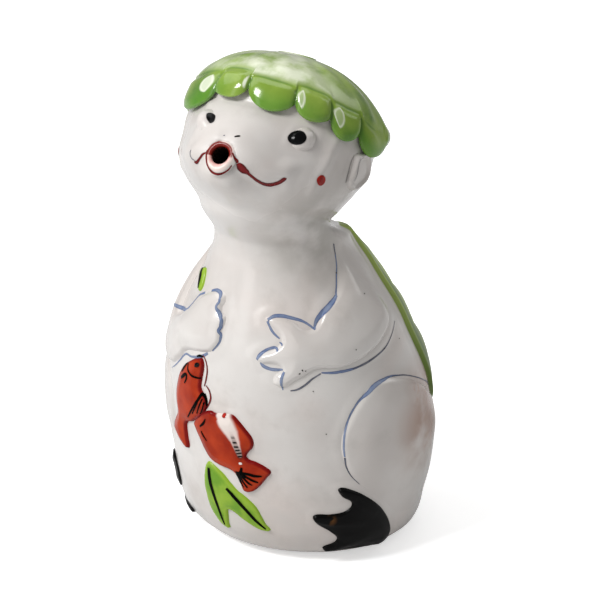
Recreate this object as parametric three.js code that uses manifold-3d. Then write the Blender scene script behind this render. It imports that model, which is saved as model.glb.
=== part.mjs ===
// A glazed stoneware flask in the shape of a kappa, the water imp of folk tales. Sake is filled in at
// the crown, under a loose cap of green hair, and is poured from the round hole in the kappa's mouth.
// Millimetres, +Z up. The kappa faces -Y, its left side is +X, and the flask stands on z = 0.
import * as THREE from 'three';
import { mergeVertices } from 'three/addons/utils/BufferGeometryUtils.js';
import { TessellateModifier } from 'three/addons/modifiers/TessellateModifier.js';
import Module from 'manifold-3d';

const wasm = await Module();
wasm.setup();

// Flask: walls, foot ring and the two openings
const wall = 3.5;                 // thickness of the thrown and cast wall
const floorThickness = 5;         // clay left above the foot recess
const footRecessDepth = 2;        // how far the base is hollowed inside the foot ring
const footRingWidth = 6;          // flat ring of bare clay that the flask stands on
const pourHoleRadius = 2.65;      // hole in the mouth
const pourHoleDepth = 16;         // from the lip through the muzzle into the head
const fillerRadius = 15.5;        // opening at the crown
const collarWall = 3.3;           // short collar round the filler opening
const collarHeight = 4.4;         // collar above the seat of the cap
const collarChamfer = 1;
const seatHeight = 5.6;           // flat seat of the cap above the head's rim
const shoulderRound = 2.6;        // rounding between the head's side and the seat
const reliefGap = 0.3;            // slip joint under each pressed relief
const backShift = 5.2;            // puts the middle of the whole object on x = y = 0

// Flask: half widths and heights of the body's sections, from the foot up
const footRadius = 25.6;
const heelRadius = 35.4;
const heelHeight = 4;
const hipRadius = 38.3;
const hipRise = 8;                // each rise is the height above the section before
const bellyRadius = 40.7;         // the widest section
const bellyRise = 16;
const waistInset = 0.6;           // the waist is narrower than the belly by this much
const waistRise = 22;
const chestRadius = 34.3;
const chestRise = 22;
const shoulderRadius = 25.1;
const shoulderRise = 18;
const neckRadius = 20.5;
const neckRise = 12;
const hipUp = heelHeight + hipRise;
const bellyUp = hipUp + bellyRise;
const chestUp = bellyUp + waistRise + chestRise;
const neckTop = chestUp + shoulderRise + neckRise;

// depthRatio is front-to-back depth over width, middle is where a section's centre lies along y
const bodySections = [
  { up: 0, halfWidth: footRadius, depthRatio: 0.94, middle: 0.8, tilt: 0 },
  { up: heelHeight, halfWidth: heelRadius, depthRatio: 0.95, middle: 2.8, tilt: 0 },
  { up: hipUp, halfWidth: hipRadius, depthRatio: 0.95, middle: 1.3, tilt: 0 },
  { up: bellyUp, halfWidth: bellyRadius, depthRatio: 0.96, middle: 0.8, tilt: 0 },
  { up: bellyUp + waistRise, halfWidth: bellyRadius - waistInset, depthRatio: 0.97, middle: -2.2, tilt: 0 },
  { up: chestUp, halfWidth: chestRadius, depthRatio: 0.98, middle: -7.2, tilt: 0 },
  { up: chestUp + shoulderRise, halfWidth: shoulderRadius, depthRatio: 1, middle: -8.6, tilt: 3 },
  { up: neckTop, halfWidth: neckRadius, depthRatio: 1, middle: -11.7, tilt: 8 },
];

// Head: sections measured along its own axis, which leans back by headTilt. drop is how far a
// section lies under the head's rim, forward how far it is pushed towards the face.
const headTilt = 27;
const rimAboveNeck = 33.8;        // centre of the rim above the last body section
const rimMiddle = -9.4;           // where the centre of the rim lies along y
const rimRadius = 28.2;
const browRadius = 28.3;          // the head's widest section
const cheekRadius = 26.4;
const chinRadius = 19.6;
const headDepth = 27.5;           // from the rim down to the chin's section
const headSections = [
  { drop: headDepth, halfWidth: chinRadius, forward: 0, tilt: 20 },
  { drop: headDepth - 4.5, halfWidth: chinRadius + 3.5, forward: 3.8, tilt: 25 },
  { drop: 17, halfWidth: cheekRadius, forward: 4, tilt: headTilt },
  { drop: 11, halfWidth: browRadius - 0.2, forward: 1.4, tilt: headTilt },
  { drop: 5, halfWidth: browRadius, forward: 1, tilt: headTilt },
  { drop: 0, halfWidth: rimRadius, forward: 0, tilt: headTilt },
];

// Muzzle: a rounded swelling of the face, pushed out along its own axis
const muzzleReach = 7.5;          // how far it stands out of the round head
const muzzleTilt = 14;            // its axis points this far above level
const muzzleOuter = 17;           // where it has died away into the cheeks
const muzzleInner = 4;            // flat part round the mouth
const muzzleWidthRatio = 1.35;    // wider than it is high
const muzzleDrop = 4.8;           // its axis below the centre of the rim
const muzzleStart = -20;          // where its axis starts along y
const mouthAngle = 4;             // the mouth sits slightly towards the kappa's left
const mouthDrop = 14.4;           // centre of the mouth below the rim, along the skin

// Cap of hair: a cup turned over, with a fringe of thick locks round its rim
const capRadius = 30.8;
const capHeight = 19.8;
const crownForward = 2.8;         // the crown leans towards the face
const capClearance = 0.7;         // play between the fringe and the head
const capSeatGap = 0.3;
const cupRadius = 21.6;           // inside of the cup, clear of the collar
const cupHeight = 15.4;           // inside of the crown above the rim
const cupShoulder = 3.2;          // drop of the inside towards its rounded edge
const cupFoot = 4.5;              // height of the inside's straight foot
const cupDraft = 0.8;             // it narrows by this much over its foot
const skirtDrop = 1.9;            // top of the fringe's inside below the seat
const skirtInset = 1.4;           // the seat's outer edge, inside the rim
const crownDishRadius = 6;
const crownDishDepth = 1.2;
const lockSwell = 1.5;            // how far each lock stands out of the dome
const lockShare = 0.5;            // share of the dome, from the lock ends up, that the locks take up
const fringeMiddle = -1.5;        // height above the rim that the dome would start from at the ears
const fringeRise = 2.5;           // higher over the face and lower at the back by this much
// One lock after the other: angle of its first groove, height of that groove's foot and of the lock's
// end above the rim
const capLocks = [
  [-68, 3, -3], [-20, 3, 1.9], [3, 5.2, 0.4], [31, 4, 0.5], [53, 2.2, -2.6], [75, 1.2, -4.4],
  [104, 2, 1.2], [133, 2.5, -1.5], [160, 2, -2.5], [185, 2, -2.5], [210, 2, -2.5], [236, 2, -2.5], [262, 2, -3],
];

const fullTurn = 360;
const degrees = THREE.MathUtils.degToRad;
const smooth = (x) => THREE.MathUtils.smoothstep(x, 0, 1);

// Slopes of a curve through the section values that never overshoots between two sections
function curveThrough(places, values) {
  const steps = places.slice(1).map((place, i) => place - places[i]);
  const rates = steps.map((step, i) => (values[i + 1] - values[i]) / step);
  const slopes = places.map((place, i) => {
    const before = rates[i - 1] ?? rates[0];
    const after = rates[i] ?? rates[rates.length - 1];
    return before * after > 0 ? (2 * before * after) / (before + after) : 0;
  });
  return (place) => {
    let i = places.findIndex((p) => p > place) - 1;
    if (i < 0) i = place < places[0] ? 0 : steps.length - 1;
    const step = steps[i];
    const t = (place - places[i]) / step;
    const a = values[i] * (1 + 2 * t) * (1 - t) ** 2 + slopes[i] * step * t * (1 - t) ** 2;
    const b = values[i + 1] * t * t * (3 - 2 * t) + slopes[i + 1] * step * t * t * (t - 1);
    return a + b;
  };
}

// The head's own axis, and the direction of the face across it
const headAxis = new THREE.Vector3(0, Math.sin(degrees(headTilt)), Math.cos(degrees(headTilt)));
const headFront = new THREE.Vector3(0, -Math.cos(degrees(headTilt)), Math.sin(degrees(headTilt)));
const rimCentre = new THREE.Vector3(0, rimMiddle, neckTop + rimAboveNeck);

// All sections in one list. up is the way along the spine, which is the height in the body.
const spine = bodySections.map((section) => ({ ...section, height: section.up }));
const neckLength = 7;             // along the spine, from the last body section to the first of the head
const rimUp = neckTop + neckLength + headDepth;
for (const section of headSections) {
  const centre = rimCentre.clone().addScaledVector(headAxis, -section.drop);
  centre.addScaledVector(headFront, section.forward);
  spine.push({ ...section, up: rimUp - section.drop, depthRatio: 1, middle: centre.y, height: centre.z });
}
const ups = spine.map((section) => section.up);
const along = (key) => curveThrough(ups, spine.map((section) => section[key]));
const halfWidthAt = along('halfWidth');
const depthRatioAt = along('depthRatio');
const middleAt = along('middle');
const heightAt = along('height');
const tiltAt = along('tilt');

const muzzleFoot = new THREE.Vector3(0, muzzleStart, rimCentre.z - muzzleDrop);
const muzzleAxis = new THREE.Vector3(0, -Math.cos(degrees(muzzleTilt)), Math.sin(degrees(muzzleTilt)));

// A point of the flask's outside. angle is in degrees from the kappa's front towards its left.
function skinPoint(angle, up) {
  const halfWidth = halfWidthAt(up);
  const forward = halfWidth * depthRatioAt(up) * Math.cos(degrees(angle));
  const tilt = degrees(tiltAt(up));
  const point = new THREE.Vector3(
    halfWidth * Math.sin(degrees(angle)),
    middleAt(up) - forward * Math.cos(tilt),
    heightAt(up) + forward * Math.sin(tilt),
  );
  const fromFoot = point.clone().sub(muzzleFoot);
  const ahead = fromFoot.dot(muzzleAxis);
  const aside = fromFoot.addScaledVector(muzzleAxis, -ahead);
  aside.x /= muzzleWidthRatio;
  const share = smooth((muzzleOuter - aside.length()) / (muzzleOuter - muzzleInner));
  return ahead > 0 ? point.addScaledVector(muzzleAxis, muzzleReach * share) : point;
}

function skinNormal(angle, up) {
  const across = skinPoint(angle + 0.5, up).sub(skinPoint(angle - 0.5, up));
  const upwards = skinPoint(angle, up + 0.2).sub(skinPoint(angle, up - 0.2));
  return across.cross(upwards).normalize();
}

// A point off the skin, outwards where out is positive
function offSkin(angle, up, out) {
  return skinPoint(angle, up).addScaledVector(skinNormal(angle, up), out);
}

// Closed surface through rings of equal count, each ring counter-clockwise seen from its top end
function stackRings(rings) {
  const count = rings[0].length;
  const positions = rings.flat().flatMap((p) => [p.x, p.y, p.z]);
  const indices = [];
  for (let i = 0; i < rings.length - 1; i += 1) {
    for (let j = 0; j < count; j += 1) {
      const a = i * count + j;
      const b = i * count + ((j + 1) % count);
      indices.push(a, b, b + count, a, b + count, a + count);
    }
  }
  const lastStart = (rings.length - 1) * count;
  for (const [ring, first, flip] of [[rings[0], 0, true], [rings.at(-1), lastStart, false]]) {
    const middle = ring.reduce((sum, p) => sum.add(p), new THREE.Vector3()).divideScalar(count);
    const centre = positions.length / 3;
    positions.push(middle.x, middle.y, middle.z);
    for (let j = 0; j < count; j += 1) {
      const a = first + j;
      const b = first + ((j + 1) % count);
      indices.push(centre, flip ? b : a, flip ? a : b);
    }
  }
  const geometry = new THREE.BufferGeometry();
  geometry.setAttribute('position', new THREE.Float32BufferAttribute(positions, 3));
  geometry.setIndex(indices);
  return geometry;
}

function toSolid(geometry) {
  const bare = geometry.clone();
  bare.deleteAttribute('normal');
  bare.deleteAttribute('uv');
  const merged = mergeVertices(bare, 1e-4);
  const corners = merged.index.array;
  const triangles = [];
  for (let i = 0; i < corners.length; i += 3) {
    const [a, b, c] = [corners[i], corners[i + 1], corners[i + 2]];
    if (a !== b && b !== c && c !== a) triangles.push(a, b, c);
  }
  return new wasm.Manifold(new wasm.Mesh({
    numProp: 3,
    vertProperties: new Float32Array(merged.attributes.position.array),
    triVerts: new Uint32Array(triangles),
  }));
}

function toGeometry(solid) {
  const mesh = solid.getMesh();
  const geometry = new THREE.BufferGeometry();
  geometry.setAttribute('position', new THREE.Float32BufferAttribute(mesh.vertProperties, 3));
  geometry.setIndex([...mesh.triVerts]);
  geometry.computeVertexNormals();
  return geometry;
}

// A solid turned round the head's axis from a profile of [radius, height above the rim]
function turnedOnHead(profile, segments = 48) {
  const points = profile.map(([radius, height]) => new THREE.Vector2(radius, height));
  const geometry = new THREE.LatheGeometry(points, segments);
  geometry.rotateX(Math.PI / 2 - degrees(headTilt));
  geometry.translate(rimCentre.x, rimCentre.y, rimCentre.z);
  return toSolid(geometry);
}

// A round rod from one point to another, for the pouring hole
function rod(from, to, radius) {
  const length = from.distanceTo(to);
  const geometry = new THREE.CylinderGeometry(radius, radius, length, 24);
  const turn = new THREE.Quaternion().setFromUnitVectors(
    new THREE.Vector3(0, 1, 0), to.clone().sub(from).normalize());
  geometry.applyQuaternion(turn);
  geometry.translate(...from.clone().add(to).divideScalar(2).toArray());
  return toSolid(geometry);
}

const mouthUp = rimUp - mouthDrop;
const mouthTip = offSkin(mouthAngle, mouthUp, 4);
const mouthInside = mouthTip.clone().addScaledVector(muzzleAxis, -pourHoleDepth);

function ringsOfSkin(levels, count, out) {
  const ring = (up) => Array.from({ length: count }, (_, j) => offSkin((j * fullTurn) / count, up, out));
  return levels.map(ring);
}

function levelsBetween(low, high, count) {
  return Array.from({ length: count + 1 }, (_, i) => low + ((high - low) * i) / count);
}

// A point round the head's own axis, height above the rim
function pointOnHead(angle, radius, height) {
  return rimCentre.clone()
    .addScaledVector(headAxis, height)
    .addScaledVector(headFront, radius * Math.cos(degrees(angle)))
    .add(new THREE.Vector3(radius * Math.sin(degrees(angle)), 0, 0));
}

const skinFacets = 44;
const bendStart = neckTop - 22;     // rings of the skin lie closer together from here to headStart
const headStart = rimUp - 20;
const footEdge = 1.5;               // first ring above the foot
const skinLevels = [
  0, footEdge, ...levelsBetween(ups[1], bendStart, 8), ...levelsBetween(bendStart, headStart, 10).slice(1),
  ...levelsBetween(headStart, rimUp, 5).slice(1),
];

function flaskBody() {
  const ringOnHead = (inset, drop) => Array.from({ length: skinFacets },
    (_, j) => pointOnHead((j * fullTurn) / skinFacets, rimRadius - inset, seatHeight - drop));
  const outer = toSolid(stackRings([
    ...ringsOfSkin(skinLevels, skinFacets, 0),
    ringOnHead(0, shoulderRound),
    ringOnHead(shoulderRound * 0.3, shoulderRound * 0.3),
    ringOnHead(shoulderRound, 0),
  ]));
  const cavityFacets = 30;
  const cavityLevels = [
    ...levelsBetween(floorThickness, bendStart, 5), ...levelsBetween(bendStart, rimUp, 9).slice(1),
  ];
  const cavity = toSolid(stackRings(ringsOfSkin(cavityLevels, cavityFacets, -wall)));
  const collarRadius = fillerRadius + collarWall;
  const collarTop = seatHeight + collarHeight;
  const root = 1;        // how deep the collar is set into the seat
  const past = 2;        // the filler opening is cut past the clay by this much
  const collar = turnedOnHead([
    [0, -root], [collarRadius, -root], [collarRadius, collarTop - collarChamfer],
    [collarRadius - collarChamfer, collarTop], [0, collarTop],
  ]);
  const filler = turnedOnHead([
    [0, -wall - past], [fillerRadius, -wall - past], [fillerRadius, collarTop + past], [0, collarTop + past],
  ]);
  const recess = new THREE.CylinderGeometry(1, 1, footRecessDepth * 2, 40);
  const recessRadius = footRadius - footRingWidth;
  recess.rotateX(Math.PI / 2);
  recess.scale(recessRadius, recessRadius * bodySections[0].depthRatio, 1);
  recess.translate(0, bodySections[0].middle, 0);
  return outer.add(collar).subtract(cavity).subtract(filler).subtract(toSolid(recess))
    .subtract(rod(mouthInside, mouthTip, pourHoleRadius));
}

// Outline of a relief: a smooth closed curve through points in mm, right and up from its own middle
function smoothOutline(points, mirrored) {
  const side = mirrored ? -1 : 1;
  const knots = points.map(([x, y]) => new THREE.Vector3(side * x, y, 0));
  const curve = new THREE.CatmullRomCurve3(knots, true, 'centripetal');
  const outline = curve.getPoints(points.length * 2).slice(0, -1);
  return outline.map((p) => new THREE.Vector2(p.x, p.y));
}

function distanceToOutline(x, y, outline) {
  let nearest = Infinity;
  const foot = new THREE.Vector3();
  const point = new THREE.Vector3(x, y, 0);
  const side = new THREE.Line3();
  for (let i = 0; i < outline.length; i += 1) {
    const next = outline[(i + 1) % outline.length];
    side.start.set(outline[i].x, outline[i].y, 0);
    side.end.set(next.x, next.y, 0);
    side.closestPointToPoint(point, true, foot);
    nearest = Math.min(nearest, foot.distanceTo(point));
  }
  return nearest;
}

// A pressed relief wrapped on the skin. edge is the height of its rounded side, crown the extra
// height of its middle, reached at the distance crownReach from the outline. fade thins it upwards.
// flat is an outline that is already a polygon, ground the height of what the relief lies on. grow makes
// the larger solid that is cut out of a neighbour, so that the two keep a slip joint's gap.
function relief(shape, grow = 0) {
  const { angle, up, outline, edge, crown, crownReach, mirrored = false, facet = 4.5, fade = null } = shape;
  const { flat = smoothOutline(outline, mirrored), ground = () => 0 } = shape;
  const sideRound = 0.45;
  const extruded = new THREE.ExtrudeGeometry(new THREE.Shape(flat), {
    depth: 1, steps: 1, curveSegments: 1, bevelEnabled: true,
    bevelThickness: 1, bevelSize: sideRound, bevelOffset: grow - sideRound, bevelSegments: 1,
  });
  const fine = new TessellateModifier(facet, 16).modify(extruded);
  const position = fine.attributes.position;
  const centreAngle = mirrored ? -angle : angle;
  const radius = halfWidthAt(up);
  for (let i = 0; i < position.count; i += 1) {
    const x = position.getX(i);
    const y = position.getY(i);
    const layer = position.getZ(i);
    const lift = THREE.MathUtils.clamp(layer, 0, 1) * edge * 0.6 + Math.max(layer - 1, 0) * edge * 0.4;
    const middle = Math.max(layer - 1, 0) * crown * smooth(distanceToOutline(x, y, flat) / crownReach);
    const share = fade ? 1 - 0.65 * smooth((y - fade.from) / (fade.to - fade.from)) : 1;
    const spare = layer > 0.5 ? 2 : -2 * reliefGap;
    const out = reliefGap + ground(x, y) + (lift + middle) * share + (grow > 0 ? spare : 0);
    const placed = offSkin(centreAngle + THREE.MathUtils.radToDeg(x / radius), up + y, out);
    position.setXYZ(i, placed.x, placed.y, placed.z);
  }
  return toSolid(fine);
}

// A relief with its neighbours' grown shapes cut away
function reliefClearOf(shape, neighbours) {
  return neighbours.reduce((solid, neighbour) => solid.subtract(relief(neighbour, reliefGap)), relief(shape));
}

// Limbs, each one pressed relief. Outlines run the same way round, seen from outside.
const leftArm = {
  angle: 60, up: chestUp + 10, edge: 1, crown: 1.1, crownReach: 6, facet: 7, fade: { from: 5, to: 20 },
  outline: [
    [-9.5, -1], [-4.5, 3.5], [1, 7], [4, 11], [8, 15], [12, 21], [16, 22], [20.5, 16], [23.5, 6],
    [22.5, -2], [18.5, -6.5], [11.5, -10], [4, -12.5], [-3, -14], [-9, -13.5], [-13.5, -16], [-18, -18.8],
    [-20.8, -17.5], [-20.5, -14], [-19, -12], [-23.5, -12], [-26.5, -10], [-24.5, -7], [-20.5, -5.8],
    [-18.5, -4], [-22, -1], [-23.5, 1.2], [-19.5, 2.4], [-14, 1.2],
  ],
};
const rightArm = {
  angle: -50, up: chestUp + 4, edge: 1, crown: 1.2, crownReach: 6, facet: 7, fade: { from: 6, to: 22 },
  outline: [
    [-2.5, 0], [3.5, 3], [8.5, 8], [11.5, 10], [16.5, 11.8], [21, 11.2], [22.3, 9], [21.8, 7],
    [24, 5.8], [24.6, 3.5], [24.2, 1.8], [24.6, -1], [22.3, -5], [19.5, -6.6], [11, -9.2], [8.5, -12.5],
    [3.5, -17], [-4, -18.6], [-12, -15.6], [-23, -7], [-29, 6], [-28, 18], [-22.5, 26.5], [-17.5, 26],
    [-12, 16],
  ],
};
const thigh = {
  angle: 85, up: bellyUp + 10, edge: 0.7, crown: 1.3, crownReach: 11, facet: 8,
  outline: [
    [19, 10.2], [8, 19], [0, 23], [-7.5, 24.8], [-14, 23.8], [-21.5, 18], [-26.5, 11], [-28, 4.5],
    [-27, -2], [-24, -8], [-18, -15], [-9, -22], [4, -26], [18, -24], [28, -16], [30, -5], [26, 4],
  ],
};
const foot = {
  angle: 52, up: hipUp + 3, edge: 0.8, crown: 0.6, crownReach: 4,
  outline: [
    [-5.4, 14], [-4.6, 10.6], [-1.6, 7.8], [-3.4, 5.6], [-7.5, 5], [-13, 4.8], [-12.6, 1.6], [-8, -2.4],
    [-6, -5.4], [-10.8, -8.6], [-9.6, -10.2], [-2, -10.6], [6, -11.2], [12.4, -11.4], [14.8, -5.5],
    [10.7, 2.5], [4.8, 8.8], [-1, 13],
  ],
};

const rightFoot = {
  ...foot, mirrored: true,
  outline: [
    [-6.5, 14.5], [-4.5, 10.8], [-2.4, 6], [-1.4, 1.5], [1, -1.2], [5, -2.4], [2, -3.6], [-3.6, -4],
    [-8, -5.6], [-9.8, -7.4], [-8, -9.2], [-2, -10.6], [6, -11.2], [12.4, -11.4], [14.8, -5.5], [10.7, 2.5],
    [4.8, 8.8], [-1, 13],
  ],
};

// Face and ears
const round = (radius, count = 14) => Array.from({ length: count }, (_, i) => {
  const turn = (i * 2 * Math.PI) / count;
  return [radius * Math.cos(turn), radius * Math.sin(turn)];
});
const eyeRadius = 4;
const eyeSwell = 1.3;
const lipRadius = 4.5;
const leftEye = {
  angle: 42, up: rimUp - 5.7, edge: 0.5, crown: eyeSwell, crownReach: 4, outline: round(eyeRadius),
};
const rightEye = { ...leftEye, angle: -19 };
const pouringLip = {
  angle: mouthAngle, up: mouthUp, edge: 0.7, crown: 0, crownReach: 1, outline: round(lipRadius, 16), facet: 3,
};
const ear = {
  angle: 90, up: rimUp - 11.5, edge: 0.9, crown: 0.9, crownReach: 3,
  outline: [[-4.5, 5], [-5.6, 1], [-5, -4.5], [-2, -7], [2.5, -5], [5.6, 0.5], [5.2, 5], [1, 6.4]],
};

// The catch on a spray of bamboo grass, held in the right hand
const upperLeaf = {
  angle: -46, up: rightArm.up + 11, edge: 0.5, crown: 0.3, crownReach: 2,
  outline: [[-2.7, 2.5], [0.1, 3], [2.4, 0.8], [3.6, -2.6], [1.8, -3.6], [-1.8, -1.6], [-4.6, 0.8]],
};
const upperFish = {
  angle: -27.5, up: rightArm.up - 21, edge: 0.8, crown: 0.9, crownReach: 4,
  outline: [
    [3.4, 12.2], [6.5, 12.8], [8, 8.5], [8, 4], [9.8, 1.2], [9.8, -2.2], [2.5, -10.5], [-1.2, -12.6],
    [-0.6, -17], [-0.8, -21.5], [-5, -21.5], [-9.8, -18.5], [-10, -15.5], [-7, -11.5], [-8, -5.5],
    [-7.2, 0.8], [-3.6, 7.8],
  ],
};
const lowerFish = {
  angle: -5, up: upperFish.up - 13, edge: 0.8, crown: 0.9, crownReach: 4,
  outline: [
    [-6.2, 10.4], [-2.5, 11.6], [1.2, 11.6], [4, 10.4], [7.4, 7.8], [9.8, 4], [10, 1], [7.6, -3],
    [13.6, -5.2], [15.6, -7.4], [11.4, -13.5], [7, -16.2], [5, -15], [2.5, -9.4], [-1.8, -9],
    [-6.2, -7.5], [-11.2, -0.8], [-13.6, 2.6],
  ],
};
const lowerLeaves = {
  angle: -3, up: lowerFish.up - 21, edge: 0.6, crown: 0.3, crownReach: 3,
  outline: [
    [-8, 12.2], [-10.2, 6.8], [-10.4, -2.5], [-8, -8.6], [-4.2, -11.6], [-2.6, -7], [-1.6, -3.6],
    [3.6, -6.2], [8.6, -9], [12.2, -9.6], [11, -6.4], [9.4, -2.2], [6.8, 2.6], [2.6, 7.6], [-3, 12],
  ],
};

// The shell covers the back from the nape to the rump. One half of each outline is mirrored.
const bothHalves = (top, half, bottom) => [top, ...half, bottom, ...half.map(([x, y]) => [-x, y]).reverse()];
const backShell = {
  angle: 180, up: chestUp - 6, edge: 1.2, crown: 0.6, crownReach: 26, facet: 8.5,
  outline: bothHalves([0, 35], [
    [20, 38], [34, 38.5], [38.5, 28], [42.5, 9], [44, -8], [42, -17], [35, -27], [26, -35], [13, -39.5],
  ], [0, -40.5]),
};

// Its plates stand on a field inside a plain rim: five down the middle and four down each side
const plateJoint = 1.8;           // width of the grooves between plates
const plateEdge = 0.7;
const plateCrown = 0.5;
const plateRoot = 0.9;            // how deep they are set into the shell
const plateSpacing = 13.5;
const sideRow = 23;               // middle of the side plates, off the spine
const plateField = bothHalves([0, 28], [
  [16, 31], [27, 31], [31.5, 24], [35.5, 8], [37, -7], [35, -14], [29, -22.5], [21, -29.5], [10, -33],
], [0, -33.8]);
const plateMiddles = [-2, -1, 0, 1, 2].map((row) => new THREE.Vector2(0, (row - 0.1) * plateSpacing));
for (const row of [-1.5, -0.5, 0.5, 1.5]) {
  for (const side of [-sideRow, sideRow]) plateMiddles.push(new THREE.Vector2(side, (row - 0.1) * plateSpacing));
}

// The part of a polygon on the near side of the groove halfway between two plates
function nearerPart(polygon, middle, other) {
  const towards = other.clone().sub(middle);
  const limit = (towards.length() - plateJoint) / 2;
  towards.normalize();
  const past = (p) => p.clone().sub(middle).dot(towards) - limit;
  return polygon.flatMap((p, i) => {
    const next = polygon[(i + 1) % polygon.length];
    const [here, there] = [past(p), past(next)];
    const kept = here <= 0 ? [p] : [];
    return here * there < 0 ? [...kept, p.clone().lerp(next, here / (here - there))] : kept;
  });
}

function shellWithPlates() {
  const { outline, edge, crown, crownReach } = backShell;
  const flatShell = smoothOutline(outline, false);
  const ground = (x, y) => edge + crown * smooth(distanceToOutline(x, y, flatShell) / crownReach) - plateRoot;
  return plateMiddles.reduce((shell, middle) => {
    const others = plateMiddles.filter((other) => other !== middle);
    const flat = others.reduce((part, other) => nearerPart(part, middle, other), smoothOutline(plateField, false));
    return shell.add(relief({
      ...backShell, flat, ground, edge: plateRoot + plateEdge, crown: plateCrown, crownReach: 5, facet: 9,
    }));
  }, relief(backShell));
}

// Cap of hair. The grooves part the fringe into locks, and each lock swells between two grooves.
function lockAt(angle) {
  const [first] = capLocks[0];
  const turned = THREE.MathUtils.euclideanModulo(angle - first, fullTurn) + first;
  const next = [...capLocks, [first + fullTurn, capLocks[0][1]]];
  const i = next.findIndex(([groove]) => groove > turned) - 1;
  const t = (turned - next[i][0]) / (next[i + 1][0] - next[i][0]);
  const share = Math.sin(Math.PI * t) ** 0.6;
  const foot = THREE.MathUtils.lerp(next[i][1], next[i + 1][1], t);
  return { share, end: THREE.MathUtils.lerp(foot, next[i][2], share) };
}

function pointOnCap(angle, radius, height) {
  const forward = crownForward * smooth(height / capHeight);
  return pointOnHead(angle, radius, height).addScaledVector(headFront, forward);
}

function hairCap() {
  const around = 84;
  const angles = Array.from({ length: around }, (_, j) => (j * fullTurn) / around);
  const ledge = seatHeight + capSeatGap;
  const endOfLock = (angle) => lockAt(angle).end;
  const dome = (angle, share) => {
    const lock = lockAt(angle);
    const fringe = fringeMiddle + fringeRise * Math.cos(degrees(angle));
    const low = THREE.MathUtils.lerp(lock.end, fringe, smooth(share / lockShare));
    const lean = share * (Math.PI / 2 - crownDishRadius / capRadius);
    const swell = lockSwell * (lock.share - 1) * Math.cos(lean) ** 2;
    return pointOnCap(angle, (capRadius + swell) * Math.cos(lean), THREE.MathUtils.lerp(low, capHeight, Math.sin(lean)));
  };
  const ringOf = (pointAt) => angles.map((angle) => pointAt(angle));
  const level = (radius, height) => ringOf((angle) => pointOnCap(angle, radius, height));
  const skirt = (angle, height) => offSkin(angle, rimUp + Math.min(height, 0), capClearance)
    .addScaledVector(headAxis, Math.max(height, 0));
  const rings = [
    level(cupRadius * 0.37, cupHeight), level(cupRadius * 0.74, cupHeight - cupShoulder),
    level(cupRadius - cupDraft, ledge + cupFoot), level(cupRadius, ledge),
    level(rimRadius - skirtInset, ledge),
    ringOf((angle) => skirt(angle, Math.max(endOfLock(angle), seatHeight - skirtDrop))),
    ringOf((angle) => skirt(angle, endOfLock(angle))),
  ];
  for (const share of [0, 0.14, 0.3, 0.46, 0.62, 0.76, 0.89, 1]) {
    rings.push(ringOf((angle) => dome(angle, share)));
  }
  rings.push(level(crownDishRadius * 0.73, capHeight - crownDishDepth * 0.4));
  rings.push(level(crownDishRadius * 0.42, capHeight - crownDishDepth));
  return toSolid(stackRings(rings));
}

// Glazes and the bare look of each node
const glaze = (color, roughness = 0.15) => new THREE.MeshStandardMaterial({ color, roughness, metalness: 0 });
const whiteGlaze = glaze('#d9d5cf');
const hairGreen = glaze('#7d9a38');
const shellGreen = glaze('#6f8a3a');
const leafGreen = glaze('#86a233');
const fishRed = glaze('#b23a22');
const blackGlaze = glaze('#141414');
const lipPink = glaze('#d8b9ae');

const kappa = new THREE.Group();
kappa.position.y = backShift;
function addNode(name, solid, material) {
  const mesh = new THREE.Mesh(toGeometry(solid), material);
  mesh.name = name;
  kappa.add(mesh);
}

const mirror = (shape) => ({ ...shape, mirrored: true });
addNode('flask_body', flaskBody(), whiteGlaze);
addNode('hair_cap', hairCap(), hairGreen);
// The shell is cut clear of the nape, where the flask's skin is curved most
const napeLevels = skinLevels.filter((up) => up > bendStart && up <= headStart);
const nape = toSolid(stackRings(ringsOfSkin(napeLevels, skinFacets, reliefGap)));
addNode('back_shell', shellWithPlates().subtract(nape), shellGreen);
addNode('left_arm', relief(leftArm), whiteGlaze);
addNode('right_arm', relief(rightArm), whiteGlaze);
addNode('left_thigh', reliefClearOf(thigh, [foot, backShell]), whiteGlaze);
addNode('right_thigh', reliefClearOf(mirror(thigh), [rightFoot, upperFish, rightArm, backShell]), whiteGlaze);
addNode('left_foot', relief(foot), blackGlaze);
addNode('right_foot', relief(rightFoot), blackGlaze);
addNode('left_eye', relief(leftEye), whiteGlaze);
addNode('right_eye', relief(rightEye), whiteGlaze);
addNode('left_ear', relief(ear), whiteGlaze);
addNode('right_ear', relief(mirror(ear)), whiteGlaze);
addNode('pouring_lip', relief(pouringLip).subtract(rod(mouthInside, mouthTip, pourHoleRadius)), lipPink);
addNode('upper_leaf', reliefClearOf(upperLeaf, [rightArm]), leafGreen);
addNode('upper_fish', reliefClearOf(upperFish, [rightArm]), fishRed);
addNode('lower_fish', reliefClearOf(lowerFish, [upperFish]), fishRed);
addNode('lower_leaves', reliefClearOf(lowerLeaves, [lowerFish]), leafGreen);

export default kappa;
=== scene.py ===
from bisect import bisect_right
from functools import lru_cache
from math import asin, ceil, cos, degrees, exp, pi, radians, sin

import bpy
import bmesh
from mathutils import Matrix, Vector, kdtree
from mathutils.bvhtree import BVHTree
from mathutils.geometry import interpolate_bezier


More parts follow.
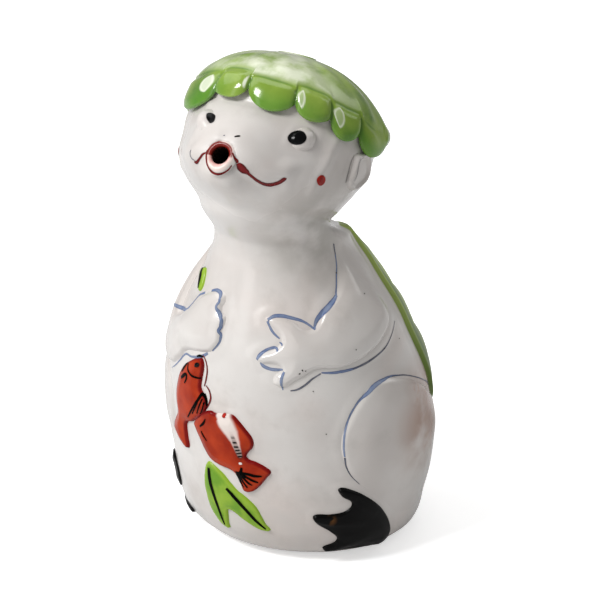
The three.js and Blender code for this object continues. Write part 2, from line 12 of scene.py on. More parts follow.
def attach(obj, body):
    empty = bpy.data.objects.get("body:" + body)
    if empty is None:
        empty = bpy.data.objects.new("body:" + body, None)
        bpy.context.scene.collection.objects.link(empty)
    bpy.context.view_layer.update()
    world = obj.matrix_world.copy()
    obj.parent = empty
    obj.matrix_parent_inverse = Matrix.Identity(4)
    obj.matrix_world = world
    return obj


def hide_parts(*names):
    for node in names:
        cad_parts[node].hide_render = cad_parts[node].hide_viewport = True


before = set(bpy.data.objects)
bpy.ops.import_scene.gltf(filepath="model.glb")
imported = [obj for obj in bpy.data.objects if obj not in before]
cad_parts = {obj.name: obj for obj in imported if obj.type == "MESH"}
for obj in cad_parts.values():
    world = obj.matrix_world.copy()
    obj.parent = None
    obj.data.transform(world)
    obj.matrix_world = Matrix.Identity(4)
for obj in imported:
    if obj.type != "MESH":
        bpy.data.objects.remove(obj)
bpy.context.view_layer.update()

mm = 0.001
backShift = 5.2      # the part's middle lies this far behind the spine's own origin, in mm


def addObject(name, data):
    made = bpy.data.objects.new(name, data)
    bpy.context.scene.collection.objects.link(made)
    return made


cameraView = {"azimuth": 30, "elevation": 23, "distance": 900, "lens": 175.2, "centre": (0, 5.2, 80),
              "right": -0.65, "up": -4.96}


def makeCamera(view):
    side, rise = radians(view["azimuth"]), radians(view["elevation"])
    back = Vector((sin(side) * cos(rise), -cos(side) * cos(rise), sin(rise)))
    right = Vector((cos(side), sin(side), 0))
    up = back.cross(right)
    aim = Vector(view["centre"]) + right * view["right"] + up * view["up"]
    data = bpy.data.cameras.new("camera")
    data.lens = view["lens"]
    camera = addObject("camera", data)
    camera.location = (aim + back * view["distance"]) * mm
    camera.rotation_euler = (-back).to_track_quat("-Z", "Y").to_euler()
    bpy.context.scene.camera = camera


makeCamera(cameraView)
bpy.context.scene.view_settings.view_transform = "Standard"
print("camera ready")


# The flask's skin, in the same sizes as the part
skinForm = {
    # place on the spine, half width, depth over width, middle along y, height, tilt
    "body": [(0, 25.6, 0.94, 0.8, 0, 0), (4, 35.4, 0.95, 2.8, 4, 0), (12, 38.3, 0.95, 1.3, 12, 0),
             (28, 40.7, 0.96, 0.8, 28, 0), (50, 40.1, 0.97, -2.2, 50, 0), (72, 34.3, 0.98, -7.2, 72, 0),
             (90, 25.1, 1, -8.6, 90, 3), (102, 20.5, 1, -11.7, 102, 8)],
    # drop below the rim, half width, push towards the face, tilt
    "head": [(27.5, 19.6, 0, 20), (23, 23.1, 3.8, 25), (17, 26.4, 4, 27), (11, 28.1, 1.4, 27),
             (5, 28.3, 1, 27), (0, 28.2, 0, 27)],
    "headTilt": 27, "rimCentre": (0, -9.4, 135.8), "rimUp": 136.5,
    "muzzleReach": 7.5, "muzzleTilt": 14, "muzzleOuter": 17, "muzzleInner": 4, "muzzleWidth": 1.35,
    "muzzleFoot": (0, -20, 131), "wall": 3.5, "neckHeight": 105,
}
rimUp = skinForm["rimUp"]
leanBack = radians(skinForm["headTilt"])
headAxis = Vector((0, sin(leanBack), cos(leanBack)))
headFront = Vector((0, -cos(leanBack), sin(leanBack)))
rimCentre = Vector(skinForm["rimCentre"])
muzzleFoot = Vector(skinForm["muzzleFoot"])
muzzleLean = radians(skinForm["muzzleTilt"])
muzzleAxis = Vector((0, -cos(muzzleLean), sin(muzzleLean)))


def smooth(x):
    x = min(max(x, 0), 1)
    return x * x * (3 - 2 * x)


def curveThrough(places, values):        # a smooth function through rows of values, which never overshoots
    steps = [b - a for a, b in zip(places, places[1:])]
    rates = [(b - a) / step for a, b, step in zip(values, values[1:], steps)]
    slopes = []
    for i in range(len(places)):
        before, after = rates[max(i - 1, 0)], rates[min(i, len(rates) - 1)]
        slopes.append(2 * before * after / (before + after) if before * after > 0 else 0)

    def valueAt(place):
        i = min(max(bisect_right(places, place) - 1, 0), len(steps) - 1)
        step = steps[i]
        t = (place - places[i]) / step
        a = values[i] * (1 + 2 * t) * (1 - t) ** 2 + slopes[i] * step * t * (1 - t) ** 2
        b = values[i + 1] * t * t * (3 - 2 * t) + slopes[i + 1] * step * t * t * (t - 1)
        return a + b
    return valueAt


def makeSpine():
    rows = list(skinForm["body"])
    for drop, halfWidth, forward, tilt in skinForm["head"]:
        centre = rimCentre - headAxis * drop + headFront * forward
        rows.append((rimUp - drop, halfWidth, 1, centre.y, centre.z, tilt))
    places = [row[0] for row in rows]
    return [curveThrough(places, [row[column] for row in rows]) for column in range(1, 6)]


spineCurves = makeSpine()


@lru_cache(maxsize=None)
def sectionAt(up):
    halfWidth, depth, middle, height, tilt = [curve(up) for curve in spineCurves]
    return halfWidth, halfWidth * depth, middle, height, cos(radians(tilt)), sin(radians(tilt))


def skinPoint(angle, up):      # angle in degrees from the kappa's front to its left, up along the spine
    halfWidth, halfDepth, middle, height, levelShare, riseShare = sectionAt(up)
    turn = radians(angle)
    forward = halfDepth * cos(turn)
    point = Vector((halfWidth * sin(turn), middle - forward * levelShare, height + forward * riseShare))
    if up > 100 and abs(angle) < 100:         # the muzzle is on the face alone
        fromFoot = point - muzzleFoot
        ahead = fromFoot.dot(muzzleAxis)
        if ahead > 0:
            aside = fromFoot - muzzleAxis * ahead
            aside.x /= skinForm["muzzleWidth"]
            outer, inner = skinForm["muzzleOuter"], skinForm["muzzleInner"]
            point += muzzleAxis * skinForm["muzzleReach"] * smooth((outer - aside.length) / (outer - inner))
    return point


def skinNormal(angle, up):
    across = skinPoint(angle + 0.5, up) - skinPoint(angle - 0.5, up)
    upwards = skinPoint(angle, up + 0.2) - skinPoint(angle, up - 0.2)
    return across.cross(upwards).normalized()


def offSkin(angle, up, out):
    point = skinPoint(angle, up)
    return point + skinNormal(angle, up) * out if abs(out) > 1e-6 else point


def placed(point):             # from mm on the spine's origin to metres in the part's frame
    return Vector((point.x, point.y + backShift, point.z)) * mm


def pointOnHead(angle, radius, height):
    turn = radians(angle)
    return (rimCentre + headAxis * height + headFront * (radius * cos(turn))
            + Vector((radius * sin(turn), 0, 0)))


def throughKnots(knots, closed, spacing):      # a smooth curve through knots, sampled every spacing mm
    count = len(knots)
    tangents = []
    for i in range(count):
        before = knots[(i - 1) % count] if closed or i > 0 else knots[i]
        after = knots[(i + 1) % count] if closed or i < count - 1 else knots[i]
        tangents.append((after - before).normalized())
    samples = []
    for i in range(count if closed else count - 1):
        start, end = knots[i], knots[(i + 1) % count]
        reach = (end - start).length / 3
        pieces = max(2, ceil(3 * reach / spacing))
        handles = (start + tangents[i] * reach, end - tangents[(i + 1) % count] * reach)
        samples += interpolate_bezier(start, *handles, end, pieces + 1)[:-1]
    return samples if closed else samples + [knots[-1]]


# Modelled swellings and creases of the face: path of (angle, up), height in mm, reach in mm
faceForms = [
    {"path": [(11, 126.5), (16, 125.6), (21, 124.4), (27, 122.6), (33, 121), (38.5, 121.2)],
     "lift": 0.9, "reach": 2.8},
    {"path": [(-3, 126.8), (-8, 125.4), (-13, 123.2), (-16.5, 121.4)], "lift": 0.8, "reach": 2.4},
    {"path": [(14, 120), (19, 117.4), (25, 115.6), (32, 115), (38, 116.6)], "lift": -0.7, "reach": 1.8},
    {"path": [(-6, 119.5), (-10, 118.4), (-15, 116.4)], "lift": -0.4, "reach": 1.6},
    {"path": [(-1, 114.8), (4, 114), (9, 114.8)], "lift": 1.1, "reach": 4},
    {"path": [(63, 133), (60.5, 128), (60, 123), (61.5, 117)], "lift": 0.6, "reach": 1.9},
    {"path": [(-63, 133), (-60.5, 128), (-60, 123), (-61.5, 117)], "lift": 0.6, "reach": 1.9},
    {"path": [(-27, 137), (-21, 131.5), (-25, 124), (-30, 119)], "lift": 0.4, "reach": 1.5},
    {"path": [(42, 120), (48, 123), (52, 121)], "lift": 0.6, "reach": 4},
]
faceWidth = 28       # half width that turns angles on the face into mm


def makeFaceForms():
    for form in faceForms:
        path = [Vector((radians(angle) * faceWidth, up, 0)) for angle, up in form["path"]]
        form["tree"] = treeOf(throughKnots(path, False, 0.4))


def treeOf(samples):
    tree = kdtree.KDTree(len(samples))
    for i, sample in enumerate(samples):
        tree.insert(sample, i)
    tree.balance()
    return tree


makeFaceForms()

# Soft swellings of the wall: middle angle, middle up, reach in degrees, reach up, height
wallForms = [(0, 105, 75, 5.5, 0.9), (-66, 7, 34, 11, 1.5), (-62, 24, 26, 9, 0.5), (122, 70, 26, 22, 0.5)]


def groundLift(angle, up):
    lift = 0
    for middle, height, aside, upwards, rise in wallForms:
        turn, climb = ((angle - middle + 180) % 360 - 180) / aside, (up - height) / upwards
        if turn * turn + climb * climb < 6:       # farther out it doesn't show
            lift += rise * exp(-turn * turn - climb * climb) * smooth(up / 6)     # none on the foot ring
    if up < 110 or abs(angle) > 75:           # the forms below are on the face alone
        return lift
    spot = Vector((radians(angle) * faceWidth, up, 0))
    for form in faceForms:
        distance = form["tree"].find(spot)[2] / form["reach"]
        if distance < 2.6:
            lift += form["lift"] * exp(-distance * distance)
    return lift


# Pressed reliefs
def alongPath(path, x, y):     # nearest on a path of (x, y, half width): its share, distance and half width
    best = (0, 9, 1)
    for i, (a, b) in enumerate(zip(path, path[1:])):
        start, step = Vector(a[:2]), Vector(b[:2]) - Vector(a[:2])
        t = min(max((Vector((x, y)) - start).dot(step) / step.length_squared, 0), 1)
        away = (Vector((x, y)) - start - step * t).length
        if away < best[1]:
            best = ((i + t) / (len(path) - 1), away, a[2] + (b[2] - a[2]) * t)
    return best


class Relief:                  # a swelling within an outline in mm, right and up from its own middle
    gap, sink = 0.3, 0.4       # mm: the solids' gap to the wall, filled here, and how deep the rim goes in

    def __init__(self, outline, angle, up, edge, crown, reach,
                 spread=0.9, mirrored=False, fade=None, detail=None):
        self.angle = -angle if mirrored else angle
        self.up = up
        self.edge, self.crown, self.reach = edge, crown, reach
        self.spread, self.fade, self.detail = spread, fade, detail
        self.side = -1 if mirrored else 1
        self.width = sectionAt(up)[0]
        samples = throughKnots([Vector((self.side * x, y, 0)) for x, y in outline], True, 0.2)
        self.tree = treeOf(samples)
        turning = sum(a.x * b.y - b.x * a.y for a, b in zip(samples, samples[1:] + samples[:1]))
        self.inward = []
        for i in range(len(samples)):
            along = samples[(i + 1) % len(samples)] - samples[i - 1]
            inward = Vector((-along.y, along.x, 0)).normalized()
            self.inward.append(inward if turning > 0 else -inward)
        margin = spread * (4 if fade else 1) + 0.4
        self.low = Vector((min(s.x for s in samples) - margin, min(s.y for s in samples) - margin, 0))
        self.high = Vector((max(s.x for s in samples) + margin, max(s.y for s in samples) + margin, 0))

    def local(self, angle, up):
        turn = (angle - self.angle + 180) % 360 - 180
        return radians(turn) * self.width, up - self.up

    def spot(self, x, y):      # back from local mm to (angle, up)
        return self.angle + degrees(x / self.width), self.up + y

    def holds(self, x, y):
        return self.low.x < x < self.high.x and self.low.y < y < self.high.y

    def depth(self, x, y):     # distance inside the outline, negative outside
        spot = Vector((x, y, 0))
        nearest, index, distance = self.tree.find(spot)
        return distance if (spot - nearest).dot(self.inward[index]) > 0 else -distance

    def softness(self, x, y):
        if not self.fade:
            return 0
        low, high, sideways = self.fade
        return smooth((y + sideways * max(x * self.side - 10, 0) - low) / (high - low))

    def lift(self, x, y, depth=None):
        depth = self.depth(x, y) if depth is None else depth
        softness = self.softness(x, y)
        spread = self.spread * (1 + 3 * softness)
        inset = 0.9 * self.spread      # the foot of the swelling lies on its outline
        full = self.edge + self.gap + self.sink
        rise = full * smooth((depth + spread - inset) / (2 * spread)) - self.sink
        middle = self.crown * smooth(depth / self.reach) * (1 - 0.5 * smooth(-depth / self.reach))
        extra = self.detail(self, x, y, depth) if self.detail and depth > 0 else 0
        share = 1 - 0.8 * softness
        return (rise if rise < 0 else rise * share) + middle * share + extra


leftArm = Relief(angle=60, up=82, edge=1, crown=1.1, reach=6, spread=1.1, fade=(3, 17, 1.3), outline=[
    (-9.5, -1), (-4.5, 3.5), (1, 7), (4, 11), (8, 15), (12, 21), (16, 22), (20.5, 16), (23.5, 6), (22.5, -2),
    (18.5, -6.5), (11.5, -10), (4, -12.5), (-3, -14), (-9, -13.5), (-13.5, -16), (-18, -18.8), (-20.8, -17.5),
    (-20.5, -14), (-19, -12.2), (-23, -12), (-25.2, -10), (-23.6, -7.6), (-20.2, -6.2), (-18.5, -4), (-22, -1),
    (-23.5, 1.2), (-19.5, 2.4), (-14, 1.2)])
rightArm = Relief(angle=-50, up=76, edge=1, crown=1.2, reach=6, spread=1.1, fade=(6, 22, 0), outline=[
    (-2.5, 0), (3.5, 3), (8.5, 8), (11.5, 10), (16.5, 11.8), (21, 11.2), (22.3, 9), (21.8, 7), (24, 5.8),
    (24.6, 3.5), (24.2, 1.8), (24.6, -1), (22.3, -5), (19.5, -6.6), (11, -9.2), (8.5, -12.5), (3.5, -17),
    (-4, -18.6), (-12, -15.6), (-23, -7), (-29, 6), (-28, 18), (-22.5, 26.5), (-17.5, 26), (-12, 16)])
thighOutline = [(19, 10.2), (8, 19), (0, 23), (-7.5, 24.8), (-14, 23.8), (-21.5, 18), (-26.5, 11), (-28, 4.5),
                (-27, -2), (-24, -8), (-18, -15), (-9, -22), (4, -26), (18, -24), (28, -16), (30, -5), (26, 4)]
thighForm = dict(outline=thighOutline, angle=85, up=38, edge=0.7, crown=1.3, reach=11, spread=1.2,
                 fade=(2, -18, -0.4))
leftThigh = Relief(**thighForm)
rightThigh = Relief(**thighForm, mirrored=True)
toeForm = {"ridge": 0.45, "reach": 1.3,      # a ridge's height and half width in mm, then its tip and heel
           "toes": [((-6, 13.2), (6, 3.5)), ((-13, 3.2), (2, 0.6)), ((-9.5, -9.2), (4, -5.5))]}


def toeRidges(relief, x, y, depth):      # a low ridge along each toe, dying out towards the heel
    lift = 0
    for start, end in toeForm["toes"]:
        a, b = Vector((*start, 0)), Vector((*end, 0))
        spot = Vector((x * relief.side, y, 0)) - a
        along = b - a
        t = min(max(spot.dot(along) / along.length_squared, 0), 1)
        lift += toeForm["ridge"] * (1 - t * 0.8) * exp(-((spot - along * t).length / toeForm["reach"]) ** 2)
    return lift * smooth(depth / 0.8)


footOutline = [(-5.4, 14), (-4.6, 10.6), (-1.6, 7.8), (-3.4, 5.6), (-7.5, 5), (-13, 4.8), (-12.6, 1.6),
               (-8, -2.4), (-6, -5.4), (-10.8, -8.6), (-9.6, -10.2), (-2, -10.6), (6, -11.2), (12.4, -11.4),
               (14.8, -5.5), (10.7, 2.5), (4.8, 8.8), (-1, 13)]
footForm = dict(outline=footOutline, angle=52, up=15, edge=0.8, crown=0.5, reach=4, spread=0.5,
                detail=toeRidges)
leftFoot = Relief(**footForm)
rightFootOutline = [(-1.5, 8.2), (-2.8, 5), (-2.6, 0), (-0.8, -2.4), (4, -3.8), (11, -4.4), (11, -6.2),
                    (2, -6.4), (-4, -6.6), (-7.4, -7.8), (-6.5, -9.6), (-2, -11), (6, -11.6), (12.4, -11.4),
                    (15.5, -7.5), (14.8, -4), (10.7, 2.5), (4.8, 9), (1, 10)]
rightFoot = Relief(**{**footForm, "outline": rightFootOutline, "mirrored": True, "edge": 0.3})


def ringOf(radius, count=16):
    return [(radius * cos(2 * pi * i / count), radius * sin(2 * pi * i / count))
            for i in range(count)]


eyeForm = dict(outline=ringOf(4), up=rimUp - 5.7, edge=0.5, crown=1.2, reach=4, spread=0.8)
leftEye = Relief(**eyeForm, angle=42)
rightEye = Relief(**{**eyeForm, "edge": 0.3, "spread": 1.5}, angle=-19)


earDepth = 1.3


def earHollow(relief, x, y, depth):
    return -earDepth * smooth((depth - 1) / 1.8)


earForm = dict(outline=[(1, 7.6), (-2.8, 7), (-5.4, 5.8), (-5.8, 3), (-5.4, -0.4), (-3.4, -3.6), (0, -5),
                        (3, -4.6), (5.6, -0.8), (5.6, 2), (4, 5)],
               angle=90, up=rimUp - 11.5, edge=1.1, crown=0.7, reach=2, spread=0.8, detail=earHollow)
leftEar = Relief(**earForm)
rightEar = Relief(**earForm, mirrored=True)

upperLeaf = Relief(angle=-46, up=87, edge=0.5, crown=0.3, reach=2, spread=0.35, outline=[
    (-2.7, 2.5), (0.1, 3), (2.4, 0.8), (3.6, -2.6), (1.8, -3.6), (-1.8, -1.6), (-4.6, 0.8)])
fishForm = dict(edge=0.8, crown=0.9, reach=4, spread=0.5)
upperFish = Relief(angle=-27.5, up=55, **fishForm, outline=[
    (-2.5, 8.4), (0.7, 11), (3.7, 12.8), (6.4, 13.2), (7.7, 11.6), (7.9, 9), (7.5, 6), (7.4, 3.2), (8.9, 1.4),
    (9.8, -1), (9.8, -3), (7.6, -6), (5.1, -8.3), (2.4, -10.8), (-1, -12.5), (-1.7, -14.4), (-1.6, -17.3),
    (-1.5, -22), (-5.6, -22), (-10, -20), (-12, -17.2), (-9.4, -13.2), (-7.2, -10), (-7.5, -6.2), (-6.9, -2),
    (-5.8, 2), (-4.7, 5.1)])
lowerFish = Relief(angle=-5, up=42, **fishForm, outline=[
    (-13.3, 2.9), (-10.4, 6.6), (-7, 9.2), (-4.7, 10.1), (-3.2, 9.8), (-1.2, 10.2), (1.4, 10.8), (4, 10.8),
    (6.1, 8.9), (8.3, 6.2), (9.8, 4), (10.2, 1.8), (9.5, -0.3), (8, -2.2), (7.5, -3.6), (10.1, -4.4),
    (12.7, -5.5), (14.9, -7.5), (13.2, -10.4), (10.7, -13.8), (8.6, -15.8), (6.5, -16.5), (4.9, -15.9),
    (3.8, -13.3), (2.7, -10.9), (1, -9.9), (-3.1, -9.4), (-6.6, -8.2), (-9, -5.5), (-10.9, -2.2), (-12.8, 1.1)])
lowerLeaves = Relief(angle=-3, up=21, edge=0.6, crown=0.3, reach=3, spread=0.4, outline=[
    (-10.4, 10.6), (-8.7, 12), (-6.1, 11.1), (-3.3, 9.4), (-0.7, 6.9), (1.8, 4.8), (5, 2.6), (7.6, 0), (9, -3),
    (10.2, -6), (11.6, -8.5), (8.6, -9.1), (5.3, -8), (1.7, -6), (-2.4, -4), (-3.3, -6.9), (-3.7, -9.6),
    (-3.9, -11.6), (-6.7, -11.2), (-9.2, -8.8), (-11.1, -5.5), (-11.7, -1.5), (-11.9, 3), (-11.4, 7.1)])

# Plates of the shell: five down the spine and four down each side, on a field inside a plain rim
halfShell = [(20, 38), (34, 38.5), (38.5, 28), (42.5, 9), (44, -8), (42, -17), (35, -27), (26, -35),
             (13, -39.5)]
halfField = [(16, 31), (27, 31), (31.5, 24), (35.5, 8), (37, -7), (35, -14), (29, -22.5), (21, -29.5),
             (10, -33)]
shellForm = {"spacing": 13.5, "sideRow": 23, "joint": 1.8, "plateEdge": 0.7, "plateCrown": 0.5, "rim": 3}


def bothSides(top, half, bottom):
    return [(0, top), *half, (0, bottom), *[(-x, y) for x, y in reversed(half)]]


plateField = Relief(angle=180, up=66, edge=0, crown=0, reach=1, outline=bothSides(28, halfField, -33.8))
plateSites = [Vector((0, (row - 0.1) * shellForm["spacing"], 0)) for row in (-2, -1, 0, 1, 2)]
plateSites += [Vector((side * shellForm["sideRow"], (row - 0.1) * shellForm["spacing"], 0))
               for row in (-1.5, -0.5, 0.5, 1.5) for side in (1, -1)]


def plateDepth(x, y):                    # how far a place lies inside its plate, negative in the joints
    spot = Vector((x, y, 0))
    own = min(plateSites, key=lambda site: (spot - site).length_squared)
    sides = [((spot - site).length_squared - (spot - own).length_squared) / (2 * (site - own).length)
             for site in plateSites if site != own]
    return min(min(sides) - shellForm["joint"] / 2, plateField.depth(x, y))


def shellPlates(relief, x, y, depth):
    inside = plateDepth(x, y)
    shown = 0.1 + 0.9 * smooth(plateField.depth(x, y) / 14)        # the plates run out towards the rim
    plate = shellForm["plateEdge"] * smooth((inside + 0.6) / 1.8) + shellForm["plateCrown"] * smooth(inside / 5)
    return shown * (plate if depth > shellForm["rim"] else 0)


def plateShade(x, y, depth):             # for the glaze: the depth in a plate, an even value on the rim
    rim = 1 - smooth((depth - 2.2) / 2.4)
    return shellForm["rim"] * rim + plateDepth(x, y) * (1 - rim)


backShell = Relief(angle=180, up=66, edge=1.25, crown=0.5, reach=26, spread=0.8, fade=(30, 46, 0),
                   detail=shellPlates, outline=bothSides(35, halfShell, -40.5))

# Each relief lies on what comes before it in this list
layers = [leftThigh, rightThigh, leftArm, lowerLeaves, lowerFish, upperFish, upperLeaf, rightArm,
          leftFoot, rightFoot, backShell, leftEar, rightEar, leftEye, rightEye]
filletReach, filletRise = 3, 0.35


def liftBelow(angle, up, top):           # height of everything under the layer called top
    lift = groundLift(angle, up)
    for layer in layers[:top]:
        x, y = layer.local(angle, up)
        if layer.holds(x, y):
            lift += max(layer.lift(x, y), 0)
    return lift


def bodyLift(angle, up):                 # the clay runs up softly to the foot of each relief
    lift = groundLift(angle, up)
    for layer in layers:
        x, y = layer.local(angle, up)
        if layer.holds(x, y):
            soft = 1 - layer.softness(x, y)
            lift += filletRise * layer.edge * soft * smooth(1 + layer.depth(x, y) / filletReach)
    return min(lift, groundLift(angle, up) + filletRise)


clayPieces = []


def clayTree():                          # all the clay built so far, to lay paint on
    clay = bmesh.new()
    for piece in clayPieces:
        clay.from_mesh(piece.data)
    tree = BVHTree.FromBMesh(clay)
    clay.free()
    return tree


def paintPoint(tree, angle, up, out):    # in through the skin to the clay, then out by the paint's height
    normal = skinNormal(angle, up)
    start = placed(skinPoint(angle, up) + normal * 7)      # 7 mm out is clear of every relief
    hit, slope = tree.ray_cast(start, -normal)[:2]
    if hit is None:
        return placed(offSkin(angle, up, out))
    return hit + (slope + normal).normalized() * out * mm


def gridOf(bm, columns, rows):           # vertices of a new grid, each with its two shares of the way across
    made = bmesh.ops.create_grid(bm, x_segments=columns, y_segments=rows, size=0.5)["verts"]
    return [(vert, vert.co.x + 0.5, vert.co.y + 0.5) for vert in made]


def layersOf(bm, *names):
    return [bm.verts.layers.float.new(name) for name in names]


def finishPiece(name, bm, materials, body, replaces=()):
    mesh = bpy.data.meshes.new(name)
    bm.to_mesh(mesh)
    bm.free()
    for polygon in mesh.polygons:
        polygon.use_smooth = True
    for material in materials:
        mesh.materials.append(material)
    piece = addObject(name, mesh)
    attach(piece, body)
    if replaces:
        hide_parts(*replaces)
    return piece


def makeRelief(name, relief, material, slot, node, spacing, marks={}):
    bm = bmesh.new()
    depthLayer, *markLayers = layersOf(bm, "depth", *marks)
    size = relief.high - relief.low
    top = layers.index(relief)
    outside = []
    for vert, right, up in gridOf(bm, ceil(size.x / spacing), ceil(size.y / spacing)):
        x, y = relief.low.x + right * size.x, relief.low.y + up * size.y
        depth = relief.depth(x, y)
        if depth < -relief.spread * (1 + 3 * relief.softness(x, y)) - spacing:
            outside.append(vert)
            continue
        angle, height = relief.spot(x, y)
        lift = liftBelow(angle, height, top) + relief.lift(x, y, depth)
        vert.co = placed(offSkin(angle, height, lift))
        vert[depthLayer] = depth
        for layer, mark in zip(markLayers, marks.values()):
            vert[layer] = mark(x, y, depth)
    bmesh.ops.delete(bm, geom=outside, context="VERTS")
    clayPieces.append(finishPiece(name, bm, [material], "flask", [node]))


brushForm = {"step": 0.35, "across": 8}            # mm along a stroke, faces across it


def makeBrushwork(name, strokes, material, out):
    bm = bmesh.new()
    tree = clayTree()
    across, ends = layersOf(bm, "across", "ends")
    for stroke in strokes:
        width = sectionAt(sum(up for _, up, _ in stroke) / len(stroke))[0]
        knots = [Vector((radians(angle) * width, up, thick)) for angle, up, thick in stroke]
        samples = throughKnots(knots, False, brushForm["step"])
        for vert, share, side in gridOf(bm, len(samples) - 1, brushForm["across"]):
            i = round(share * (len(samples) - 1))
            before, after = samples[max(i - 1, 0)], samples[min(i + 1, len(samples) - 1)]
            direction = Vector((after.x - before.x, after.y - before.y)).normalized()
            half = samples[i].z / 2 * (2 * side - 1)
            x, y = samples[i].x - direction.y * half, samples[i].y + direction.x * half
            shift = (x - samples[i].x) * width / sectionAt(round(y, 2))[0]
            vert.co = paintPoint(tree, degrees((samples[i].x + shift) / width), y, out)
            vert[across] = 2 * side - 1
            vert[ends] = min(share, 1 - share) * len(samples) * brushForm["step"]
    turnOutwards(bm)
    finishPiece(name, bm, [material], "flask")


def turnOutwards(bm):                    # single sheets: each face looks away from the flask's spine
    bm.normal_update()
    for face in bm.faces:
        centre = face.calc_center_median() / mm
        spine = Vector((0, rimCentre.y if centre.z > skinForm["neckHeight"] else 0, centre.z))
        if face.normal.dot(centre - Vector((0, backShift, 0)) - spine) < 0:
            face.normal_flip()


def closeShell(bm):                      # seams and poles merged, faces outwards
    bmesh.ops.remove_doubles(bm, verts=bm.verts, dist=2e-6)
    bmesh.ops.recalc_face_normals(bm, faces=bm.faces)


# Glazes
def shade(code):                         # a written sRGB colour as linear values
    parts = [int(code[i:i + 2], 16) / 255 for i in (0, 2, 4)]
    return (*[c / 12.92 if c <= 0.04045 else ((c + 0.055) / 1.055) ** 2.4 for c in parts], 1)


class Wire:                              # one value in a node tree, with arithmetic
    def __init__(self, glaze, socket):
        self.glaze, self.socket = glaze, socket

    def __add__(self, other):
        return self.glaze.maths("ADD", self, other)

    def __sub__(self, other):
        return self.glaze.maths("SUBTRACT", self, other)

    def __rsub__(self, other):
        return self.glaze.maths("SUBTRACT", other, self)

    def __mul__(self, other):
        return self.glaze.maths("MULTIPLY", self, other)

    __radd__, __rmul__ = __add__, __mul__

    def span(self, low, high):           # 0 at low, 1 at high, eased between them
        return self.glaze.node("ShaderNodeMapRange", {"interpolation_type": "SMOOTHSTEP"},
                               {"Value": self, "From Min": low, "From Max": high})


class Glaze:                             # one material, built up from its first colour by washes of others
    def __init__(self, name, colour, roughness=0.16, coat=1, coatRoughness=0.04, gloss=0.5):
        self.material = bpy.data.materials.new(name)
        self.material.use_nodes = True
        self.tree = self.material.node_tree
        self.shader = self.tree.nodes["Principled BSDF"]
        self.colour = shade(colour)
        for key, value in {"Roughness": roughness, "Coat Weight": coat, "Coat Roughness": coatRoughness,
                           "Specular IOR Level": gloss}.items():
            self.shader.inputs[key].default_value = value

    def node(self, kind, settings={}, inputs={}, output=0):
        made = self.tree.nodes.new(kind)
        for key, value in settings.items():
            setattr(made, key, value)
        for key, value in inputs.items():
            if isinstance(value, Wire):
                self.tree.links.new(value.socket, made.inputs[key])
            else:
                made.inputs[key].default_value = value
        return Wire(self, made.outputs[output])

    def maths(self, operation, *values):
        return self.node("ShaderNodeMath", {"operation": operation}, dict(enumerate(values)))

    def place(self):
        return self.node("ShaderNodeTexCoord", output="Object")

    def attribute(self, name):
        return self.node("ShaderNodeAttribute", {"attribute_name": name}, output="Fac")

    def clouds(self, scale, detail=3, roughness=0.5):
        return self.node("ShaderNodeTexNoise", {}, {"Vector": self.place(), "Scale": scale, "Detail": detail,
                                                    "Roughness": roughness}, "Fac")

    def cells(self, scale, output):
        return self.node("ShaderNodeTexVoronoi", {}, {"Vector": self.place(), "Scale": scale}, output)

    def specks(self, scale, size, share):      # small dark points where iron burnt through the glaze
        near = 1 - self.cells(scale, "Distance").span(size * 0.5, size)
        chosen = self.node("ShaderNodeSeparateColor", {}, {"Color": self.cells(scale, "Color")}, "Red")
        return near * self.maths("GREATER_THAN", chosen, 1 - share)

    def around(self, angle, up, near, far):    # 1 at a place on the skin, 0 beyond the distance far, in mm
        away = self.node("ShaderNodeVectorMath", {"operation": "DISTANCE"},
                         {0: self.place(), 1: placed(skinPoint(angle, up))}, "Value")
        return 1 - away.span(near * mm, far * mm)

    def mix(self, a, b, share):
        a, b = [shade(colour) if isinstance(colour, str) else colour for colour in (a, b)]
        return self.node("ShaderNodeMix", {"data_type": "RGBA"}, {"Factor": share, 6: a, 7: b}, 2)

    def wash(self, colour, share):
        self.colour = self.mix(self.colour, colour, share)

    def feed(self, **inputs):
        for key, value in inputs.items():
            self.tree.links.new(value.socket, self.shader.inputs[key.replace("_", " ")])

    def finish(self, grain, strength, distance=0.0003, detail=3):      # a fine waviness of the surface
        self.feed(Base_Color=self.colour, Normal=self.node("ShaderNodeBump", {}, {
            "Height": self.clouds(grain, detail), "Strength": strength, "Distance": distance}))
        return self.material


def makeWhiteGlaze():
    glaze = Glaze("whiteGlaze", "dcd8d4", coatRoughness=0.17)
    glaze.wash("cdc6c1", glaze.clouds(22, 4).span(0.35, 0.65))
    glaze.wash("ddcfc8", glaze.clouds(38).span(0.5, 0.75) * 0.5)
    glaze.wash("b9b4ae", glaze.clouds(75, 5, 0.6).span(0.5, 0.78) * 0.45)
    # painted warm reflection and shade: a darker brown wash over the right haunch
    haunch = glaze.around(100, 43, 6, 24) * glaze.clouds(60, 4).span(0.2, 0.6)
    # painted shade under the head on the neck's right: grey mottling, partly the glaze's own grey
    neck = glaze.around(82, 108, 5, 26) * glaze.clouds(90, 4).span(0.25, 0.65)
    # painted warm reflection: a small brown speckled patch on the haunch
    warmReflection = glaze.around(92, 53, 0.3, 4) * glaze.clouds(500).span(0.5, 0.62)
    glaze.wash("96705a", haunch)
    glaze.wash("99948b", neck * 0.75)
    glaze.wash("a8653a", warmReflection * 0.6)
    glaze.wash("4a3c34", glaze.specks(170, 0.07, 0.03))
    dull = glaze.around(5, 127, 4, 34)            # thinner glaze on the face
    glaze.feed(Roughness=glaze.clouds(60, 4) * 0.12 + dull * 0.25 + 0.18, Coat_Weight=0.65 - dull * 0.6)
    return glaze.finish(120, 0.12)


